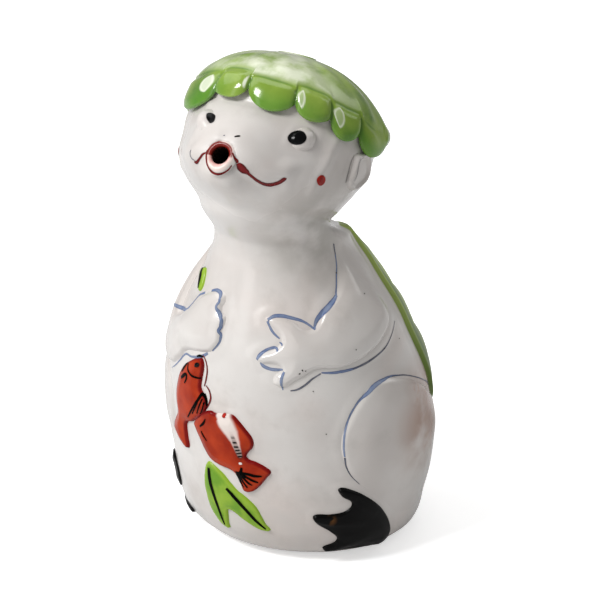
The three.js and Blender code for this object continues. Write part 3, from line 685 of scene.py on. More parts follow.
def makeHairGlaze():
    glaze = Glaze("hairGlaze", "7c9a36", roughness=0.2, coatRoughness=0.07, gloss=0.25)
    upLock, crown = glaze.attribute("upLock"), glaze.attribute("crown")
    glaze.wash("93ad49", glaze.clouds(140, 4).span(0.3, 0.75))
    glaze.wash("487324", glaze.clouds(70).span(0.48, 0.68) * 0.8)
    glaze.wash("4c8a2a", (1 - upLock.span(0.05, 0.75)) * glaze.clouds(45, 2).span(0.35, 0.6) * 0.6)
    glaze.wash("44702a", glaze.attribute("hollow").span(0.25, 1) * 0.8)
    # painted reflection of the lamp above: pale streaks on the crown towards the face
    glaze.wash("dbe0c6", upLock.span(1, 1.35) * glaze.clouds(52, 5, 0.62).span(0.3, 0.56) * crown)
    # painted highlights at the locks' sides
    glaze.wash("dfe5cf", glaze.attribute("paintedGlint"))
    glaze.feed(Coat_Weight=crown * 0.5 + 0.12)
    return glaze.finish(130, 0.35, 0.0005)


def makeShellGlaze():
    glaze = Glaze("shellGlaze", "5a6f34", roughness=0.3, coat=0, coatRoughness=0.08, gloss=0.03)
    # painted light: the shell lighter towards its top, where the light falls
    height = glaze.node("ShaderNodeSeparateXYZ", {}, {"Vector": glaze.place()}, "Z").span(0.045, 0.092)
    glaze.wash("6b7f42", glaze.clouds(90, 4))
    glaze.wash(glaze.mix("9db062", "a9bb6c", glaze.clouds(90, 4)), height)
    glaze.wash("3a5c24", (1 - glaze.attribute("plate").span(-0.6, 0.8)) * 0.6)       # joints
    glaze.feed(Coat_Weight=glaze.attribute("depth").span(9, 20) * 0.8)
    return glaze.finish(160, 0.15)


def makeFishGlaze():
    glaze = Glaze("fishGlaze", "922611", roughness=0.25, coat=0.05, coatRoughness=0.1, gloss=0.06)
    glaze.wash("b43c1b", glaze.clouds(110).span(0.3, 0.7))
    glaze.wash("780e12", (1 - glaze.attribute("depth").span(0.7, 1.6)) * 0.9)
    glaze.wash("e4d9d2", glaze.attribute("finBand"))
    glaze.wash("120e0e", glaze.attribute("finShade"))
    return glaze.finish(200, 0.1)


def makeLeafGlaze():
    glaze = Glaze("leafGlaze", "93b43a", roughness=0.2, coat=0.1, coatRoughness=0.1, gloss=0.12)
    depth = glaze.attribute("depth")
    glaze.wash("6c9a2a", depth.span(0.5, 2.2) * glaze.clouds(120).span(0.3, 0.6))
    glaze.wash("8db036", 1 - depth.span(0, 0.5))
    return glaze.finish(200, 0.1)


def makeBlackGlaze():
    glaze = Glaze("blackGlaze", "040404", roughness=0.3, coat=0.02, coatRoughness=0.12, gloss=0.08)
    glaze.wash("0c0b0b", glaze.clouds(90))
    # painted brown glint on the left foot
    warmReflection = glaze.around(41, 17.6, 0.2, 2.6) * glaze.clouds(420).span(0.48, 0.6)
    glaze.wash("8a5a2a", warmReflection)
    return glaze.finish(150, 0.12)


def makeClay():
    glaze = Glaze("bareClay", "c9b8a0", roughness=0.8, coat=0)
    glaze.wash("b39f85", glaze.clouds(200, 4))
    return glaze.finish(900, 0.4, 0.0004, 4)


def makeLipGlaze():
    glaze = Glaze("lipGlaze", "e6d3cb", roughness=0.2, coat=0.12, coatRoughness=0.1, gloss=0.2)
    ring = glaze.attribute("ring")       # 0 in the hole, 1 at its edge, 2 where the lip meets the muzzle
    glaze.wash("ddd8d2", ring.span(1.5, 2))
    glaze.wash("d99a92", (1 - ring.span(1, 1.5)) * glaze.clouds(300).span(0.4, 0.6))
    ragged = (glaze.clouds(520) - 0.5) * 0.3
    upper = (glaze.attribute("above") + ragged).span(-0.25, 0.05)
    patch = glaze.attribute("left").span(0.05, 0.4) * upper
    red = upper * (1 - (ring + ragged).span(1.4, 1.6)) + patch * (1 - (ring + ragged).span(1.75, 1.95))
    glaze.wash("7a1d14", glaze.maths("MINIMUM", red, 1))
    # painted shade: the bore dark inside
    glaze.wash("2e2018", 1 - ring.span(0.72, 0.98))
    return glaze.finish(200, 0.1)


def makeBrushGlaze(name, thin, thick, cover, coat=0.1, gloss=0.15):
    glaze = Glaze(name, thin, roughness=0.25, coat=coat, gloss=gloss)
    side = glaze.maths("ABSOLUTE", glaze.attribute("across"))
    edge = 1 - (side + (glaze.clouds(700) - 0.5) * 0.35).span(0.74, 1)      # ragged sides
    streak = glaze.clouds(420).span(0.25, 0.8)
    glaze.wash(thick, glaze.maths("MINIMUM", side.span(0.2, 0.8) * 0.5 + streak * 0.5, 1))
    start = glaze.attribute("ends").span(0, 0.25)
    glaze.feed(Base_Color=glaze.colour, Alpha=edge * start * (streak * 0.25 + (cover - 0.25)))
    return glaze.material


def makeSpotGlaze(name, colour, second):
    glaze = Glaze(name, colour, coat=0.15, gloss=0.08)
    glaze.wash(second, glaze.clouds(260).span(0.4, 0.7))
    ragged = (glaze.clouds(600) - 0.5) * 0.3
    glaze.feed(Base_Color=glaze.colour, Alpha=(glaze.attribute("depth") + ragged).span(0, 0.22))
    return glaze.material


whiteGlaze, blackGlaze = makeWhiteGlaze(), makeBlackGlaze()
fishGlaze, leafGlaze = makeFishGlaze(), makeLeafGlaze()
print("glazes ready")


# Flask body: outer skin, seat and collar, cavity, foot, in one closed shell
flaskForm = {
    "around": 264, "skinRows": 190, "cavityRows": 34,
    "rimRadius": 28.2, "shoulderRound": 2.6, "seatHeight": 5.6, "seatRadius": 23, "collarRadius": 18.8,
    "collarTop": 10, "fillerRadius": 15.5, "recess": 19.8, "recessDepth": 2, "bareFoot": 0.4,
    "cavityDrop": 3, "floor": 5, "floorRadius": 30, "floorRings": [(0.8, 7.4), (0.4, 7.1), (0, 7.1)],
    "mouthAngle": 4, "mouthUp": rimUp - 14.4, "holeInWall": 3.7, "boreReach": 8,
}


def flaskProfile():            # rows from the foot's middle up the skin, over the collar and down the cavity
    form = flaskForm
    rim, seat, recess = form["rimRadius"], form["seatHeight"], form["recessDepth"]
    profile = [("foot", 0, recess), ("foot", 0.5, recess), ("foot", 0.97, recess), ("foot", 1, recess - 0.4),
               ("foot", 1, 0.3), ("foot", 1.02, 0), ("foot", 1.14, 0), ("foot", 1.27, 0)]
    for i in range(form["skinRows"] + 1):          # rows lie closer together on the head
        profile.append(("skin", 0.3 + (i / form["skinRows"]) ** 0.85 * (rimUp - 0.3), 0))
    profile += [("head", rim, 1), ("head", rim, 2), ("head", rim, 3)]
    for turn in [radians(18 * i) for i in range(1, 6)]:
        inwards, down = form["shoulderRound"] * (1 - cos(turn)), form["shoulderRound"] * (1 - sin(turn))
        profile.append(("head", rim - inwards, seat - down))
    radius, bore, top = form["collarRadius"], form["fillerRadius"], form["collarTop"]
    collar = [(form["seatRadius"], seat), (radius + 0.7, seat), (radius + 0.1, seat + 0.3),
              (radius, seat + 0.9), (radius, top - 1), (radius - 0.3, top - 0.3), (radius - 1, top),
              (bore + 1, top), (bore + 0.3, top - 0.3), (bore, top - 1), (bore, -2.6), (bore + 0.4, -3.3)]
    profile += [("head", *ring) for ring in collar]
    rows, cavityTop = form["cavityRows"], rimUp - form["cavityDrop"]
    profile += [("cavity", cavityTop - (cavityTop - form["floor"]) * i / rows, 0) for i in range(rows + 1)]
    return profile + [("floor", *ring) for ring in form["floorRings"]]


def flaskPoint(kind, along, height, angle):
    if kind == "skin":
        return offSkin(angle, along, bodyLift(angle, along))
    if kind == "cavity":
        return offSkin(angle, along, -skinForm["wall"])
    if kind == "head":
        return pointOnHead(angle, along, height)
    _, _, depth, middle, _, _ = skinForm["body"][0]
    radius = flaskForm["recess" if kind == "foot" else "floorRadius"] * along
    return Vector((radius * sin(radians(angle)), middle - radius * depth * cos(radians(angle)), height))


def makeFlaskBody():
    form = flaskForm
    profile = flaskProfile()
    bm = bmesh.new()
    for vert, right, up in gridOf(bm, form["around"], len(profile) - 1):
        angle = round(right * form["around"]) * 360 / form["around"] - 180
        vert.co = placed(flaskPoint(*profile[round(up * (len(profile) - 1))], angle))
    closeShell(bm)
    centre = placed(skinPoint(form["mouthAngle"], form["mouthUp"]))
    axis = skinNormal(form["mouthAngle"], form["mouthUp"])

    def inBore(vert):
        ahead = (vert.co - centre).dot(axis)
        aside = (vert.co - centre - axis * ahead).length
        return abs(ahead) < form["boreReach"] * mm and aside < form["holeInWall"] * mm

    bmesh.ops.delete(bm, geom=[vert for vert in bm.verts if inBore(vert)], context="VERTS")
    bmesh.ops.bridge_loops(bm, edges=[edge for edge in bm.edges if edge.is_boundary])
    for face in bm.faces:                # bare clay where the foot ring stands
        face.material_index = 1 if face.calc_center_median().z < form["bareFoot"] * mm else 0
    glazes = [whiteGlaze, makeClay()]
    clayPieces.append(finishPiece("flaskBody", bm, glazes, "flask", ["flask_body"]))


makeFlaskBody()
print("flask body ready")

# White band between the lower fish's body and its back fin, with dark rungs towards the tail: x, y, half width
finBand = [(-1.6, 10.8, 1.6), (0.2, 9.8, 2.6), (1.7, 7.5, 2.8), (3.3, 5, 2.4), (4.4, 2.4, 1.7), (5, -0.4, 1.1),
           (5.4, -3, 0.6)]
finLadder = [(3.1, 6, 0.4), (4.1, 2.7, 0.8), (4.7, 0.2, 1), (5.2, -1.7, 1.1), (5.5, -3.6, 0.8)]


def finBandAt(x, y, depth):
    share, away, half = alongPath(finBand, x, y)
    return (1 - smooth((away - half * 0.7) / (half * 0.5))) * (1 - 0.3 * smooth((share - 0.35) / 0.45))


def finShadeAt(x, y, depth):
    share, away, half = alongPath(finLadder, x, y)
    rungs = 0.4 + 0.6 * smooth(0.5 + 1.4 * sin(share * 42) - 0.6 + share)
    return rungs * smooth(share / 0.3) * (1 - smooth((away - half * 0.6) / 0.5))


finMarks = {"finBand": finBandAt, "finShade": finShadeAt}
reliefPieces = {
    # relief, glaze, slot, replaced node, spacing of the mesh in mm, marks for the glaze
    "leftArm": (leftArm, whiteGlaze, "white_glaze", "left_arm", 0.35),
    "rightArm": (rightArm, whiteGlaze, "white_glaze", "right_arm", 0.35),
    "leftThigh": (leftThigh, whiteGlaze, "white_glaze", "left_thigh", 0.7),
    "rightThigh": (rightThigh, whiteGlaze, "white_glaze", "right_thigh", 0.7),
    "leftFoot": (leftFoot, blackGlaze, "black_glaze", "left_foot", 0.35),
    "rightFoot": (rightFoot, blackGlaze, "black_glaze", "right_foot", 0.35),
    "leftEye": (leftEye, whiteGlaze, "white_glaze", "left_eye", 0.25),
    "rightEye": (rightEye, whiteGlaze, "white_glaze", "right_eye", 0.25),
    "leftEar": (leftEar, whiteGlaze, "white_glaze", "left_ear", 0.35),
    "rightEar": (rightEar, whiteGlaze, "white_glaze", "right_ear", 0.35),
    "upperLeaf": (upperLeaf, leafGlaze, "leaf_glaze", "upper_leaf", 0.25),
    "upperFish": (upperFish, fishGlaze, "fish_glaze", "upper_fish", 0.25),
    "lowerFish": (lowerFish, fishGlaze, "fish_glaze", "lower_fish", 0.2, finMarks),
    "lowerLeaves": (lowerLeaves, leafGlaze, "leaf_glaze", "lower_leaves", 0.3),
    "backShell": (backShell, makeShellGlaze(), "shell_glaze", "back_shell", 0.45, {"plate": plateShade}),
}
for name, setting in reliefPieces.items():
    makeRelief(name, *setting)
print("reliefs ready")


# Lip and bore of the mouth
lipForm = {
    "around": 72,
    # distance from the bore's axis, height above the muzzle, place for the glaze
    "profile": [(2.65, -6.5, 0), (2.65, -3, 0.2), (2.65, -1, 0.6), (2.68, -0.1, 0.9), (2.78, 0.28, 1),
                (3, 0.52, 1.1), (3.35, 0.66, 1.25), (3.75, 0.64, 1.4), (4.1, 0.5, 1.6), (4.4, 0.25, 1.8),
                (4.7, -0.1, 2), (5.1, -0.6, 2)],
}


def makeLip():
    centre = skinPoint(flaskForm["mouthAngle"], flaskForm["mouthUp"])
    axis = skinNormal(flaskForm["mouthAngle"], flaskForm["mouthUp"])
    level = Vector((0, 0, 1)).cross(axis).normalized()
    rise = axis.cross(level)
    bm = bmesh.new()
    ring, above, left = layersOf(bm, "ring", "above", "left")
    profile = lipForm["profile"]
    for vert, right, up in gridOf(bm, lipForm["around"], (len(profile) - 1) * 2):
        place = up * (len(profile) - 1)
        i = min(int(place), len(profile) - 2)
        radius, height, tone = [a + (b - a) * (place - i) for a, b in zip(profile[i], profile[i + 1])]
        turn = 2 * pi * right
        droop = 1 + 0.2 * smooth(-sin(turn)) * smooth((radius - 2.9) / 1.5)   # fuller below the hole
        height += 0.25 * smooth(-sin(turn)) * smooth((radius - 2.8) / 1.2) * smooth((4.9 - radius) / 1.2)
        offset = level * (cos(turn) * radius) + rise * (sin(turn) * radius * droop)
        vert.co = placed(centre + offset + axis * height)
        vert[ring], vert[above], vert[left] = tone, sin(turn), -cos(turn)
    closeShell(bm)
    bm.normal_update()
    outer = max(bm.faces, key=lambda face: (face.calc_center_median() - placed(centre)).dot(axis))
    if outer.normal.dot(axis) < 0:
        bmesh.ops.reverse_faces(bm, faces=bm.faces)
    clayPieces.append(finishPiece("pouringLip", bm, [makeLipGlaze()], "flask", ["pouring_lip"]))


makeLip()


# Cap of hair
capForm = {
    "around": 600, "domeRows": 120, "radius": 30.8, "height": 19.8, "lean": 2.8, "clearance": 0.7,
    "fringeMiddle": -1.5, "fringeRise": 2.5, "lockShare": 0.5, "swell": 1.5, "bulge": 0.7, "crease": 0.12,
    "shoulderLow": 2.6, "shoulderRise": 7, "shoulderUneven": 0.7, "strand": 0.12, "dishRadius": 6,
    "skirtTop": 3.7, "cornerAngle": 104, "cornerHalf": 6, "cornerEase": 14,
    # one lock after the other: angle of its first groove, height of the groove's foot and of the lock's end
    "locks": [(-68, 3, -3), (-20, 3, 1.9), (3, 5.2, 0.4), (31, 4, 0.5), (53, 2.2, -2.6), (75, 1.2, -4.6),
              (104, -1.2, 0.6), (133, 2.5, -1.5), (160, 2, -2.5), (185, 2, -2.5), (210, 2, -2.5),
              (236, 2, -2.5), (262, 2, -3)],
    # radius and drop of the dish's rings, radius and height of those inside
    "dish": [(0, 1.2), (1.6, 1.2), (3, 1.15), (4, 0.95), (4.8, 0.6), (5.4, 0.25), (5.8, 0.06)],
    "inside": [(26.8, 5.9), (24, 5.9), (21.6, 5.9), (21.4, 7), (20.8, 9.4), (19.4, 10.9), (16, 12.3),
               (13, 13.4), (8, 15.1), (3, 15.4), (0, 15.4)],
}


def lockAt(angle):                       # share of the way round the lock, its number, height of its lower end
    locks = capForm["locks"] + [(capForm["locks"][0][0] + 360, *capForm["locks"][0][1:])]
    turned = (angle - locks[0][0]) % 360 + locks[0][0]
    i = min(max(bisect_right([lock[0] for lock in locks], turned) - 1, 0), len(locks) - 2)
    t = (turned - locks[i][0]) / (locks[i + 1][0] - locks[i][0])
    foot = locks[i][1] + (locks[i + 1][1] - locks[i][1]) * t
    return t, i, foot + (locks[i][2] - foot) * sin(pi * t) ** 0.6


def pointOnCap(angle, radius, height):
    forward = capForm["lean"] * smooth(height / capForm["height"])
    return pointOnHead(angle, radius, height) + headFront * forward


def domePoint(angle, share):             # share 0 at the fringe, 1 at the dish
    form = capForm
    t, number, end = lockAt(angle)
    face = cos(radians(angle))
    fringe = form["fringeMiddle"] + form["fringeRise"] * face
    low = end + (fringe - end) * smooth(share / form["lockShare"])
    fullLean = pi / 2 - form["dishRadius"] / form["radius"]
    lean = share * fullLean
    # over the left ear the crown runs down to a corner without a groove
    corner = 1 - smooth((abs(angle - form["cornerAngle"]) - form["cornerHalf"]) / form["cornerEase"])
    pillow = (1 - abs(2 * t - 1) ** 3) ** 0.6                   # 1 in a lock's middle, 0 in the grooves
    pillow += (1 - pillow) * corner
    # where the lock's shoulder meets the crown, highest over the face, and how far up the lock a place lies
    shoulder = form["shoulderLow"] + form["shoulderRise"] * ((1 + face) / 2) ** 2
    shoulder += form["shoulderUneven"] * sin(number * 2.3)
    reach = asin((shoulder - fringe) / (form["height"] - fringe)) / fullLean
    up = share / (reach * (0.86 + 0.14 * pillow))
    inLock = 1 - smooth((up - 0.72 + 0.4 * corner) / (0.3 + 0.6 * corner))      # 0 on the crown above it
    bulge = form["bulge"] * pillow * inLock * smooth((up + 0.25) / 0.5)
    crease = form["crease"] * exp(-((up - 1.04) / 0.09) ** 2) * (pillow - corner)
    dent = form["swell"] * (pillow - 1) * (1 - smooth((up - 0.7) / 0.5))
    strands = form["strand"] * (sin(angle * 0.17 + 1.3 * sin(angle * 0.05) + share * 4)
                                + sin(angle * 0.31 + share * 3)) * smooth((up - 1.1) / 0.5)
    out = bulge + dent - crease + strands * smooth((1.02 - share) / 0.3)
    radius = form["radius"] * cos(lean) + out * cos(lean)
    height = low + (form["height"] - low) * sin(lean) + out * sin(lean)
    groove = (1 - pillow) * (1 - smooth((up - 0.8) / 0.3))
    hollow = groove + 0.75 * exp(-((up - 1.06) / 0.08) ** 2) * (pillow - corner)
    return pointOnCap(angle, radius, height), hollow, up


# Painted highlights, pale glints at the locks' sides: lock, near and far side round it, low, high, middle's
# share
glintPlaces = [(0, 0.72, 0.97, 0.25, 0.9, 0.8), (1, 0.86, 0.97, 0.1, 0.85, 1), (3, 0.04, 0.27, 0.1, 0.88, 0.3),
            (4, 0.05, 0.38, 0.18, 0.92, 0.25)]


def glintAt(angle, up):                # 1 within a painted highlight
    t, number, _ = lockAt(angle)
    for lock, near, far, low, high, filled in glintPlaces:
        if lock == number and low < up < high:
            belly = sin(pi * (up - low) / (high - low)) ** 0.7
            inside = (far - near) / 2 * belly - abs(t - (near + far) / 2 + 0.04 * (belly - 0.5))
            return smooth(inside / 0.035) * (1 - (1 - filled) * smooth((inside - 0.035) / 0.04))
    return 0


def capRings():                          # kind of each ring with its two measures
    form = capForm
    rings = [("dish", radius, form["height"] - drop) for radius, drop in form["dish"]]
    rings += [("dome", (1 - i / form["domeRows"]) ** 1.25, 0) for i in range(form["domeRows"] + 1)]
    rings += [("edge", i / 8, 0) for i in range(1, 8)]
    rings += [("skirt", share, 0) for share in (0, 0.35, 0.7, 1)]
    return rings + [("inside", radius, height) for radius, height in form["inside"]]


def capPoint(kind, a, b, angle):         # place, how deep in a groove, how far up the lock
    form = capForm
    if kind == "dome":
        return domePoint(angle, a)
    if kind in ("dish", "inside"):
        return pointOnCap(angle, a, b), 0, 3
    end = lockAt(angle)[2]

    def skirt(height):
        return offSkin(angle, rimUp + min(height, 0), form["clearance"]) + headAxis * max(height, 0)

    if kind == "skirt":
        return skirt(end + (max(end, form["skirtTop"]) - end) * a), 0.6, 0
    outer, hollow, up = domePoint(angle, 0)
    inner = skirt(end)
    turn = pi * a
    bulge = (outer - inner).length * 0.45
    return outer.lerp(inner, (1 - cos(turn)) / 2) - headAxis * (bulge * sin(turn)), hollow, -a


def makeCap():
    rings = capRings()
    bm = bmesh.new()
    hollowLayer, upLayer, glintLayer, crownLayer = layersOf(bm, "hollow", "upLock", "paintedGlint", "crown")
    for vert, right, up in gridOf(bm, capForm["around"], len(rings) - 1):
        kind, a, b = rings[round(up * (len(rings) - 1))]
        angle = round(right * capForm["around"]) * 360 / capForm["around"] - 180
        point, vert[hollowLayer], vert[upLayer] = capPoint(kind, a, b, angle)
        vert[glintLayer] = glintAt(angle, vert[upLayer]) if kind == "dome" else 0
        vert[crownLayer] = 0.1 + 0.9 * smooth(1.1 - abs(angle - 8) / 68)      # 1 over the face: where the pale painted reflection lies, and a heavier coat
        vert.co = placed(point)
    closeShell(bm)
    finishPiece("hairCap", bm, [makeHairGlaze()], "cap", ["hair_cap"])


makeCap()
print("cap ready")


# Painted lines, each point as (angle, up, width)
def mirrored(stroke):
    return [(-angle, up, width) for angle, up, width in stroke]


blueStrokes = [
    [(77.4, 102.4, 0.35), (75.4, 99.5, 0.45), (72.1, 96.1, 0.5), (68.2, 93.3, 0.5), (65.3, 90.6, 0.55),
     (62.1, 87.7, 0.6)],
    [(62.7, 88, 0.7), (59.3, 86.8, 1.2), (54.2, 85.2, 1.6), (49.3, 83.7, 1.5), (45.7, 82.1, 1.2),
     (43.6, 79.9, 0.5)],
    [(44.2, 80, 0.5), (42, 81.1, 0.7), (37.8, 82.4, 0.8), (32.1, 83.2, 1), (26.3, 83.7, 1.1), (21.1, 83.5, 1.1),
     (17.7, 82.4, 1)],
    [(17.5, 82.3, 1), (18.5, 81.3, 0.8), (20.4, 79.8, 0.8), (22.2, 78.9, 0.7), (24.8, 77.9, 0.4)],
    [(24.3, 77.1, 0.3), (25.8, 76.6, 0.6), (25.8, 76.1, 0.4)],
    [(23.7, 74.5, 0.7), (22.9, 75.5, 0.8), (19.6, 75.3, 0.9), (16.4, 74.3, 1), (14, 72.9, 1.2),
     (12.9, 71.7, 0.8)],
    [(14.6, 71.1, 0.6), (16.3, 70.1, 1.2), (19.5, 69.4, 1.2), (23.1, 69.3, 1), (26, 69.6, 0.5)],
    [(26.5, 69.1, 0.6), (25.1, 67.2, 1), (24.6, 65.4, 0.9), (24.8, 63, 0.4)],
    [(43.8, 68.1, 0.5), (49.1, 67.7, 0.9), (55.5, 67.6, 1), (62.4, 67.8, 0.7), (66, 68.1, 0.4)],
    [(-27.6, 85.9, 0.7), (-21.9, 86.8, 1.1), (-16.8, 86.3, 1), (-15.1, 84.6, 0.7), (-15.9, 83, 0.8),
     (-13.5, 81.8, 1), (-10.1, 80.2, 0.9), (-9.7, 78.6, 0.9), (-10.2, 77.3, 0.8), (-8.7, 76.3, 0.7),
     (-9, 74.2, 0.6), (-12.6, 71.1, 0.4)],
    [(-15.2, 70.1, 0.9), (-19.6, 68.2, 1.1), (-27, 66.5, 0.8), (-32.2, 66.1, 0.8), (-36.9, 62.8, 0.7),
     (-42.1, 59.4, 0.5), (-48.1, 56.6, 0.3)],
    [(-67, 73.3, 0.8), (-52.1, 76.2, 1.4), (-46.5, 77.1, 0.9), (-42.2, 80, 0.5), (-38.9, 82.8, 0.6),
     (-33.1, 84.6, 0.8)],
    [(88.4, 60.1, 0.4), (80.7, 61.7, 0.7), (74.3, 61.8, 1.1), (68.4, 61.1, 1.3), (63.9, 59.6, 1),
     (58.8, 57.8, 0.8), (54.1, 54.8, 0.7), (50.8, 51.3, 0.7), (48.8, 47.4, 0.6), (47.8, 43.1, 0.6),
     (47.8, 39.7, 0.5)],
]
blueStrokes.append(mirrored(blueStrokes[-1][:6]))          # start of the right haunch
greyStrokes = [
    [(28, 62.9, 0.4), (31.4, 63.3, 0.7), (35.2, 64.6, 0.7), (39.1, 66.4, 0.6), (43.8, 67.9, 0.5)],
    [(60, 67.7, 0.4), (66, 68.1, 0.8), (70.3, 68.5, 0.75), (77.7, 69.4, 0.65), (85.3, 70.5, 0.55),
     (93.9, 72.7, 0.45), (102.3, 74.8, 0.3)],
    [(116, 47.6, 0.4), (108.8, 51.8, 0.5), (97.2, 57, 0.5), (88.4, 60.1, 0.5), (80.7, 61.6, 0.4)],
    [(47.8, 39.6, 0.6), (48.3, 35.9, 0.5), (50.2, 32.5, 0.4), (54, 29, 0.25)],
    [(77.7, 102.5, 0.5), (76.2, 100.8, 0.4), (75.2, 99.1, 0.3)],
    [(-17.2, 121.9, 0.3), (-17.7, 120.7, 0.5), (-16.3, 119.7, 0.5), (-14.2, 119.2, 0.3)],
    [(1.7, 127.7, 0.3), (2.9, 127.9, 0.3)],
]
# painted shade: grey lines in the ears' hollows
earShadeStrokes = [
    [(78.4, 130.4, 0.3), (77.4, 127.6, 0.6), (78.6, 124.4, 0.7), (82.4, 121.8, 0.4)],
    [(85, 130.6, 0.3), (84.4, 128, 0.7), (86, 125, 0.5), (88, 123, 0.3)],
]
earShadeStrokes += [mirrored(stroke) for stroke in earShadeStrokes]
redStrokes = [
    [(-14.7, 119, 1.1), (-13.1, 118.6, 1), (-9.8, 120.1, 0.8), (-7.9, 121.4, 0.7), (-5.9, 122, 0.5),
     (-5, 122.8, 0.6)],
    [(11.1, 123.3, 0.4), (13.3, 122.1, 0.6), (15.1, 121.4, 1.1), (15.7, 120.8, 0.7)],
    [(16.1, 120.9, 1), (17.6, 120.1, 2.2), (19.1, 119.2, 2.6), (21.1, 118.7, 2), (22.8, 118.3, 1)],
    [(21.8, 118.5, 1.1), (24.5, 117.6, 0.9), (27.3, 116.7, 1), (30.6, 116.1, 1.1), (33.9, 116, 1.2),
     (36.9, 116.5, 1.2), (39.2, 117.4, 1.2), (40.4, 118.7, 1.3), (40.6, 119.2, 0.8)],
    [(-5.1, 122.3, 0.7), (-3.8, 120.6, 0.8), (-1.5, 118.9, 0.7), (2, 117.8, 0.6), (7, 117.7, 0.5),
     (11.3, 118.7, 0.4), (13.3, 120.1, 0.3)],
    # outlines of the two fish
    [(-18.5, 68.9, 0.5), (-16, 67.4, 0.5), (-14.6, 64.6, 0.6), (-14.9, 61.6, 0.6), (-15.8, 59, 0.4)],
    [(-15, 59.6, 0.4), (-12.8, 58.2, 0.6), (-11.9, 56.2, 0.7), (-12.6, 54, 0.7), (-14.2, 51.8, 0.4)],
]
blackStrokes = [
    [(8.4, 127.8, 0.3), (9.8, 128.1, 0.55), (11.4, 128.3, 0.35)],
    [(-26.7, 64.6, 0.5), (-25.3, 63, 0.7), (-22.5, 61.9, 0.8), (-19.6, 61.6, 0.8), (-17.2, 61.7, 0.5)],
    [(-27.3, 64.6, 0.5), (-28.8, 63.2, 1), (-29.9, 61.7, 1), (-30.7, 60.6, 0.6)],
    [(-29.8, 58.9, 1), (-27.9, 60.2, 1.3), (-25.8, 61.2, 0.9), (-25.4, 59.9, 0.8), (-26.7, 57.9, 0.5)],
    [(-22.9, 67.5, 0.5), (-20.6, 68.2, 0.9), (-18, 68.3, 0.6)],
    # side fin of the upper fish
    [(-15.8, 57, 1.1), (-17.5, 54.6, 0.9), (-21, 50.9, 0.7), (-26, 46, 0.4)],
    [(-15.5, 56.8, 1), (-14.2, 55.2, 0.8), (-13.6, 52.8, 0.5)],
    [(-15.4, 55.4, 0.5), (-16.6, 53.1, 0.45), (-19.4, 49.1, 0.35)],
    [(-14.6, 54.3, 0.5), (-15.2, 52.4, 0.45), (-17.3, 49.5, 0.35)],
    [(-17.6, 53.8, 0.5), (-19.4, 51.5, 0.45), (-22.3, 48.4, 0.35)],
    [(-13.6, 49, 0.4), (-14.6, 47.4, 0.9), (-17.2, 45.4, 0.6)],
    [(-16.6, 44.2, 0.4), (-15.7, 42.9, 0.8), (-13.5, 41.1, 0.4)],
    # tail rays of the lower fish
    [(-0.3, 32.5, 1.4), (2.3, 33.2, 1.3), (3.4, 35.4, 0.7)],
    [(2.3, 33.2, 1.2), (5.7, 33.4, 1.1), (9.1, 33.2, 1.2), (12, 33.2, 0.6)],
    [(2.5, 32.9, 1.2), (5.6, 32.1, 1), (8.3, 31.2, 1), (10.2, 30.6, 0.5)],
    [(2.2, 32.6, 1.2), (4.4, 31.2, 1), (6.3, 30, 0.9), (7.5, 29.4, 0.5)],
    [(1.6, 32.3, 1.1), (2.9, 30.5, 0.9), (4.8, 28.7, 0.9), (5.3, 28.2, 0.4)],
    [(0.7, 32.1, 1), (1.7, 30.3, 0.8), (2.7, 28.5, 0.6), (3.5, 27.9, 0.4)],
    [(-0.2, 32, 0.9), (0.8, 30.8, 0.8), (1.9, 29, 0.4)],
    # ribs of the leaves
    [(-15.2, 30.8, 1.2), (-14.9, 26.9, 1.5), (-13.6, 21.9, 1.4), (-12.1, 16.9, 1.1), (-10.6, 11, 0.5)],
    [(-5.9, 25.8, 1.1), (-2.3, 23.5, 1.5), (2.6, 20, 1.4), (7.3, 16.1, 1.1), (11.5, 13.3, 0.5)],
    # dark half of the upper leaf
    [(-51.5, 89.6, 0.6), (-49, 88.4, 1.7), (-45.5, 86.6, 1.9), (-42, 84.2, 0.8)],
]

brushwork = {
    # strokes, name of the glaze, its thin and thick colour and how well it covers, slot, height over the clay
    "blueBrushwork": (blueStrokes, ("blueBrush", "8496b6", "4e6290", 0.9), "white_glaze", 0.07),
    "greyBrushwork": (greyStrokes, ("greyBrush", "6c7080", "3c3e4c", 0.95), "white_glaze", 0.09),
    "earShadeBrushwork": (earShadeStrokes, ("earShadeBrush", "8f8b88", "6f6c6a", 0.6), "white_glaze", 0.08),
    "redBrushwork": (redStrokes, ("redBrush", "7e1416", "3e0508", 1.15), "fish_glaze", 0.1),
    "blackBrushwork": (blackStrokes, ("blackBrush", "080806", "020202", 1.25, 0, 0.02), "black_glaze", 0.12),
}
for name, (strokes, glaze, slot, out) in brushwork.items():
    makeBrushwork(name, strokes, makeBrushGlaze(*glaze), out)
print("brushwork ready")


# Painted spots
spotForm = {"around": 28, "rings": 6, "dome": 0.15}


def makeSpots(name, spots, material, out):
    bm = bmesh.new()
    depth, = layersOf(bm, "depth")
    tree = clayTree()
    for angle, up, halfWidth, halfHeight, turn in spots:
        width = sectionAt(up)[0]
        spin = radians(turn)
        for vert, around, radius in gridOf(bm, spotForm["around"], spotForm["rings"]):
            x = radius * cos(2 * pi * around) * halfWidth
            y = radius * sin(2 * pi * around) * halfHeight
            x, y = x * cos(spin) - y * sin(spin), x * sin(spin) + y * cos(spin)
            dome = spotForm["dome"] * (1 - radius * radius)
            vert[depth] = (1 - radius) * min(halfWidth, halfHeight)
            vert.co = paintPoint(tree, angle + degrees(x / width), up + y, out + dome)
    bmesh.ops.remove_doubles(bm, verts=bm.verts, dist=1e-6)
    turnOutwards(bm)
    finishPiece(name, bm, [material], "flask")


